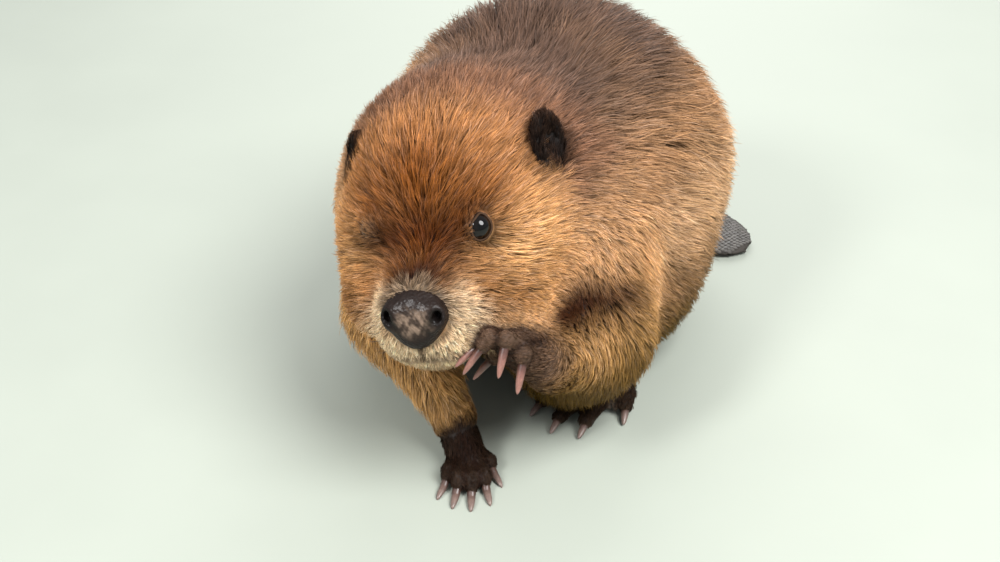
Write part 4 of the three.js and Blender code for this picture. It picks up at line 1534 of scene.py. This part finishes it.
# %% [markdown]
# The pad is dark brown round its rim, and lighter grey-brown and mottled in the middle of its
# front; the dark in and round the nostrils is painted shade. Its pebbled grain is about 1.2
# mm. The skin is moist, which a thin clear coat over a rougher ground shows best: two soft
# highlights, one wide and one sharp.

# %% Nose leather
def pad_colour(points):
    x, y, z = pad.into(points).T
    middle = np.exp(-(np.hypot(x - 1.5, (z + 3) * 1.1) / 8.5) ** 4) * ramp(y, -5.5, -8.2)
    pad_mottle = ramp(wander(points, 6, 31), -0.45, 0.45)
    local = np.stack([np.abs(x), y, z], -1)
    dark, light = vec(*linear("1e1410")), vec(*linear("826e5e"))
    colour = dark + (light - dark) * ((0.15 + 0.85 * pad_mottle) * middle)[:, None]
    # painted shade in and round the nostrils
    return colour * (0.25 + 0.75 * ramp(nostril_form(local), 0.1, 2.2))[:, None]

leather = grown("Moist nose leather", 1.5, 0.2, bump=(1.2, 0.4), bump_kind="ShaderNodeTexVoronoi",
                Roughness=0.55, IOR=1.42, Specular_IOR_Level=0.15,
                Coat_Weight=0.2, Coat_Roughness=0.24)
nose = mesh_from("nose_pad", nose_points, nose_quads, colour=pad_colour(nose_points))
finish_piece(nose, leather, "nose_leather", "nose")
print("nose pad from", len(nose_points), "points")

# %% [markdown]
# ## Claws
# A claw is swept along a curve that starts inside the toe and bends down to a blunt point.
# It is flatter than it is wide, and a beaver's are long, because they dig and hold sticks.
# Horn is smooth keratin worn to a dull polish. On the raised hand it is clear enough for
# the quick to shine through in pink; on the others it is brown.

# %% Claws
CLAW_LENGTH = {"forepaw": 16, "hind_foot": 12}
CLAW_RADIUS, CLAW_ROOTED, CLAW_COLUMNS = 2.0, 4, 12
CLAW_TINTS = {"raised": ("452a23", "8e6459"), "standing": ("463028", "75625a")}
horn = grown("Claw horn", 1.2, 0.22, bump=(0.8, 0.06), Roughness=0.34, IOR=1.54)

def claw_line(digit, length):
    _, knuckle, tip = digit
    start = beyond(knuckle, tip, -CLAW_ROOTED)
    end = beyond(knuckle, tip, length - CLAW_ROOTED)
    line = catmull_rom([start, (start + end) / 2, end + vec(0, 0, -1)], 10)
    t = np.linspace(0, 1, len(line))
    line[:, 2] = np.maximum(line[:, 2], CLAW_RADIUS * 0.8 * np.sqrt(1 - t ** 2) + 0.1)
    return line, t

def claw(name, digit, length, tints):
    line, t = claw_line(digit, length)
    pointed = np.sqrt(np.maximum(1 - t ** 2.6, 0.001))
    rooted = np.sqrt(np.minimum(t / 0.15 + 0.02, 1))
    radius = CLAW_RADIUS * pointed * rooted
    along = unit_rows(np.gradient(line, axis=0))
    across = unit_rows(np.cross(along, vec(0, 0, 1)))
    up = np.cross(across, along)
    turn = around(CLAW_COLUMNS)
    height = np.sin(turn) * np.where(np.sin(turn) > 0, 0.85, 0.65)
    ring = across[:, None] * np.cos(turn)[:, None] + up[:, None] * height[:, None]
    local = line[:, None] + ring * radius[:, None, None]
    base, end = (vec(*linear(tint)) for tint in tints)
    # lighter towards the tip; along the top of each claw a painted highlight, with painted shade on
    # its sides and underside
    share = ramp(t, 0.25, 0.75)[:, None, None] * (0.75 + 0.25 * np.sin(turn))[:, None]
    return mesh_from(name, local.reshape(-1, 3) + BODY, grid_faces(len(line), CLAW_COLUMNS),
                     colour=(base + (end - base) * share).reshape(-1, 3))

# %% All claws
claws = []
for kind, places in (("forepaw", FOREPAWS), ("hind_foot", FEET)):
    for which, (_, _, digits) in places.items():
        raised = kind == "forepaw" and which == "left"
        tints = CLAW_TINTS["raised" if raised else "standing"]
        for number, digit in enumerate(digits, 1):
            node = f"claw_{kind}_{which}_{number}"
            piece = claw(node + "_horn", digit, CLAW_LENGTH[kind], tints)
            claws.append(finish_piece(piece, horn, "claw_horn", node))
print(len(claws), "claws")

# %% [markdown]
# ## Tail scales
# The tail is a leathery paddle covered in small horny plates, each edge lying over the
# next towards the tip. They are set in rows as bricks are, dropped onto both faces of the
# tail, and each is tipped up a little at its rear edge. Geometry was chosen over bump
# because their edges show at the rim.

# %% Places of the scales
SCALE_LENGTH, SCALE_WIDTH = 3.2, 3.0
ROW_STEP, COLUMN_STEP = SCALE_LENGTH * 0.72, SCALE_WIDTH * 0.88
FIRST_ROW, ALL_ROWS = 0.10, 0.885   # shares of the tail's length

def scale_places():
    steps = np.linalg.norm(np.diff(TAIL, axis=0), axis=1)
    total = steps.sum()
    share = np.concatenate([[0], np.cumsum(steps)]) / total
    on_line = lambda s: np.array([np.interp(s, share, TAIL[:, i]) for i in range(3)])
    rows = int(total / ROW_STEP)
    places, ways = [], []
    for row in range(rows):
        s = FIRST_ROW + ALL_ROWS * row / rows
        at = on_line(s)
        ahead = unit(on_line(min(s + 0.02, 1)) - on_line(s - 0.02))
        aside = unit(np.cross(vec(0, 0, 1), ahead))
        half = tail_half_width(np.array(s)) - 0.6
        columns = np.arange(-half, half, COLUMN_STEP) + (row % 2) * COLUMN_STEP / 2
        for offset in columns[np.abs(columns) < half]:
            for face in (1, -1):
                places.append(at + aside * offset + vec(0, 0, face * 4.5))
                ways.append(ahead)
    places = onto(tail_form, np.array(places) + BODY, 0.0, 6)
    keep = places[:, 2] > 0.7   # none where the tail lies on the floor
    return places[keep], np.array(ways)[keep]

scale_at, scale_ahead = scale_places()
print(f"{len(scale_at)} tail scales")

# %% [markdown]
# A plate is an eight-sided dome with a bevelled rim. The rim is darker and the crown a
# little lighter, and each plate is a shade of its own.

# %% Scales
SCALE_SIDES = 8

def scale_plates(rng):
    count = len(scale_at)
    out = unit_rows(slope_of(tail_form, scale_at))
    ahead = scale_ahead - out * (scale_ahead * out).sum(-1, keepdims=True)
    ahead = unit_rows(ahead + rng.normal(0, 0.10, (count, 3)))
    aside = np.cross(out, ahead)
    jitter = rng.uniform(0.82, 1.12, (count, 1, 1))
    turn = around(SCALE_SIDES)
    long, wide = np.cos(turn) * SCALE_LENGTH / 2, np.sin(turn) * SCALE_WIDTH / 2
    tipped = (0.10 + 0.30 * (np.cos(turn) + 1) / 2)[:, None]
    ring = (ahead[:, None] * long[:, None] + aside[:, None] * wide[:, None]) * jitter
    out, at = out[:, None], scale_at[:, None]
    points = np.concatenate([at + ring * 1.04 + out * (tipped - 0.45),
                             at + ring * 0.82 + out * tipped, at + out * 0.36], 1)
    k = np.arange(SCALE_SIDES)
    after = (k + 1) % SCALE_SIDES
    rim, crown = k + SCALE_SIDES, after + SCALE_SIDES
    tris = np.concatenate([np.stack([k, after, crown], 1), np.stack([k, crown, rim], 1),
                           np.stack([rim, crown, 0 * k + 2 * SCALE_SIDES], 1)])
    tone = np.array([0.5] * SCALE_SIDES + [0.95] * SCALE_SIDES + [1.1])[:, None]
    colour = vec(*linear("48433d")) * tone * rng.uniform(0.75, 1.15, (count, 1, 1))
    faces = tris[None] + points.shape[1] * np.arange(count)[:, None, None]
    return points.reshape(-1, 3), faces.reshape(-1, 3), colour.reshape(-1, 3)

points, faces, colour = scale_plates(np.random.default_rng(5))
plates = grown("Horny tail plates", 1.5, 0.18, bump=(0.6, 0.08), Roughness=0.5, IOR=1.5)
tail_plates = mesh_from("tail_plates", points, faces, colour=colour, smooth=False)
finish_piece(tail_plates, plates, "tail_scales")
print(len(faces), "triangles of plates")

# %% [markdown]
# ## Whiskers
# Stiff hairs stand in rows on the sides of the muzzle and sweep back. They are thin three-
# sided tubes that taper to nothing, darker at the root. A real one is 0.2 to 0.3 mm thick.

# %% Lines of the whiskers
WHISKER_ROWS, WHISKER_COLUMNS, WHISKER_STATIONS = 4, 5, 7
WHISKER_RADIUS, WHISKER_TIP = 0.14, 0.02

def whisker_lines(rng):
    lines = []
    for s in SIDE.values():
        for row in range(WHISKER_ROWS):
            for column in range(WHISKER_COLUMNS):
                start = vec(s * (13 + 1.2 * column), -56 + 3.4 * column, -18 - 3.6 * row)
                start = start + rng.normal(0, 0.5, 3)
                length = rng.uniform(9, 17) * (0.8 + 0.1 * column)
                out = vec(s, -0.15 + rng.normal(0, 0.15), -0.35 + rng.normal(0, 0.15))
                out = unit(out)
                back = unit(vec(s * 0.35, 0.9, -0.45))
                t = np.linspace(0, 1, WHISKER_STATIONS)[:, None]
                lines.append(start + (out * t + (back - out) * t ** 2 * 0.55) * length)
    lines = head.out(np.array(lines))
    rooted = onto(flesh, lines[:, 0], -0.3, 6)
    return lines + (rooted - lines[:, 0])[:, None]

# %% Whiskers
def tubes(lines, radius, sides=3):
    """Points and faces of a thin tube round each line."""
    along = unit_rows(np.gradient(lines, axis=1))
    across = unit_rows(np.cross(along, vec(0, 0, 1)))[:, :, None]
    up = np.cross(across, along[:, :, None])
    turn = around(sides)[:, None]
    points = lines[:, :, None] + (across * np.cos(turn) + up * np.sin(turn)) * radius[:, None, None]
    stations = lines.shape[1]
    first = stations * sides * np.arange(len(lines))[:, None, None]
    return points, (grid_faces(stations, sides)[None] + first).reshape(-1, 4)

lines = whisker_lines(np.random.default_rng(21))
points, faces = tubes(lines, np.linspace(WHISKER_RADIUS, WHISKER_TIP, WHISKER_STATIONS))
fade = np.linspace(0.6, 1.6, WHISKER_STATIONS)[:, None, None]
colour = np.broadcast_to(vec(*linear("3a2a20")) * fade, points.shape)
keratin = grown("Whisker keratin", 2, 0.2, Roughness=0.4, IOR=1.55)
whiskers = mesh_from("whiskers", points.reshape(-1, 3), faces, colour=colour.reshape(-1, 3))
finish_piece(whiskers, keratin, "dark_coat")
print(f"{len(lines)} whiskers")

# %% [markdown]
# ## Camera
# A small animal is usually met from above. The camera stands in front of it and to its
# left, looking 33 degrees down, far enough away for a lens of about 50 mm on a full frame,
# so that the nose isn't swollen as it would be by a wide lens close by.

# %% Camera
from mathutils import Vector

def placed(name, data, place, direction):
    thing = bpy.data.objects.new(name, data)
    bpy.context.scene.collection.objects.link(thing)
    thing.location = Vector(place * MM)
    thing.rotation_euler = Vector(direction).to_track_quat("-Z", "Y").to_euler()
    return thing

TURN, PITCH = math.radians(20), math.radians(33)
CAMERA_PLACE = vec(198.2, -569, 420)
level = math.cos(PITCH)
forward = vec(-math.sin(TURN) * level, math.cos(TURN) * level, -math.sin(PITCH))
lens = bpy.data.cameras.new("camera")
lens.lens = 50.4
lens.sensor_width = 36
camera = placed("camera", lens, CAMERA_PLACE + BODY, forward)
bpy.context.scene.camera = camera
print("camera", round(math.dist(CAMERA_PLACE, (0, 0, 60))), "mm from the animal")

# %% [markdown]
# ## Floor
# The plinth is a board painted matt in a pale grey-green. Paint from a roller has a fine
# stipple of about 2 mm and slow changes of shine, which keep a large plain face from
# looking like a backdrop of paper.

# %% Floor
FLOOR_HALF = 20   # metres, so that its end is never in view
floor_mesh = bpy.data.meshes.new("floor")
corners = [(x * FLOOR_HALF, y * FLOOR_HALF, 0) for x, y in ((-1, -1), (1, -1), (1, 1), (-1, 1))]
floor_mesh.from_pydata(corners, [], [(0, 1, 2, 3)])
layer = floor_mesh.color_attributes.new("marking", "FLOAT_COLOR", "POINT")
layer.data.foreach_set("color", [*linear("a3a99e"), 1] * len(corners))
floor = bpy.data.objects.new("floor", floor_mesh)
bpy.context.scene.collection.objects.link(floor)
paint = grown("Matt rolled paint", 90, 0.02, bump=(2, 0.02), Roughness=0.7, IOR=1.5)
floor_mesh.materials.append(paint)
print("floor of", 2 * FLOOR_HALF, "m")

# %% [markdown]
# ## Light
# Three soft lamps and a pale room, as over a museum case. The largest hangs above on the
# animal's left and draws the shadows, a small one in front gives the eyes their spark and
# the nose its shine, and one behind lights the tips of the fur along the back. The room's
# own light keeps the shadows open. The plain "Standard" view keeps the colours as told.

# %% Light
LIT = vec(0, -20, 70)   # the middle of the animal, which all the lamps look at

def soft_light(name, place, across, power):
    lamp = bpy.data.lights.new(name, "AREA")
    lamp.energy = power
    lamp.shape = "DISK"
    lamp.size = across
    return placed(name, lamp, vec(*place), LIT - place)

soft_light("key", (-460, -890, 970), 0.35, 11)
soft_light("window", (800, -300, 1250), 0.9, 33)
soft_light("rim", (-250, 1000, 650), 0.9, 10)
bpy.context.scene.view_settings.view_transform = "Standard"
world = bpy.data.worlds.new("studio")
bpy.context.scene.world = world
world.use_nodes = True
room = world.node_tree.nodes["Background"]
room.inputs["Color"].default_value = (0.95, 0.97, 1, 1)
room.inputs["Strength"].default_value = 0.5
print(len(bpy.data.lights), "lamps")
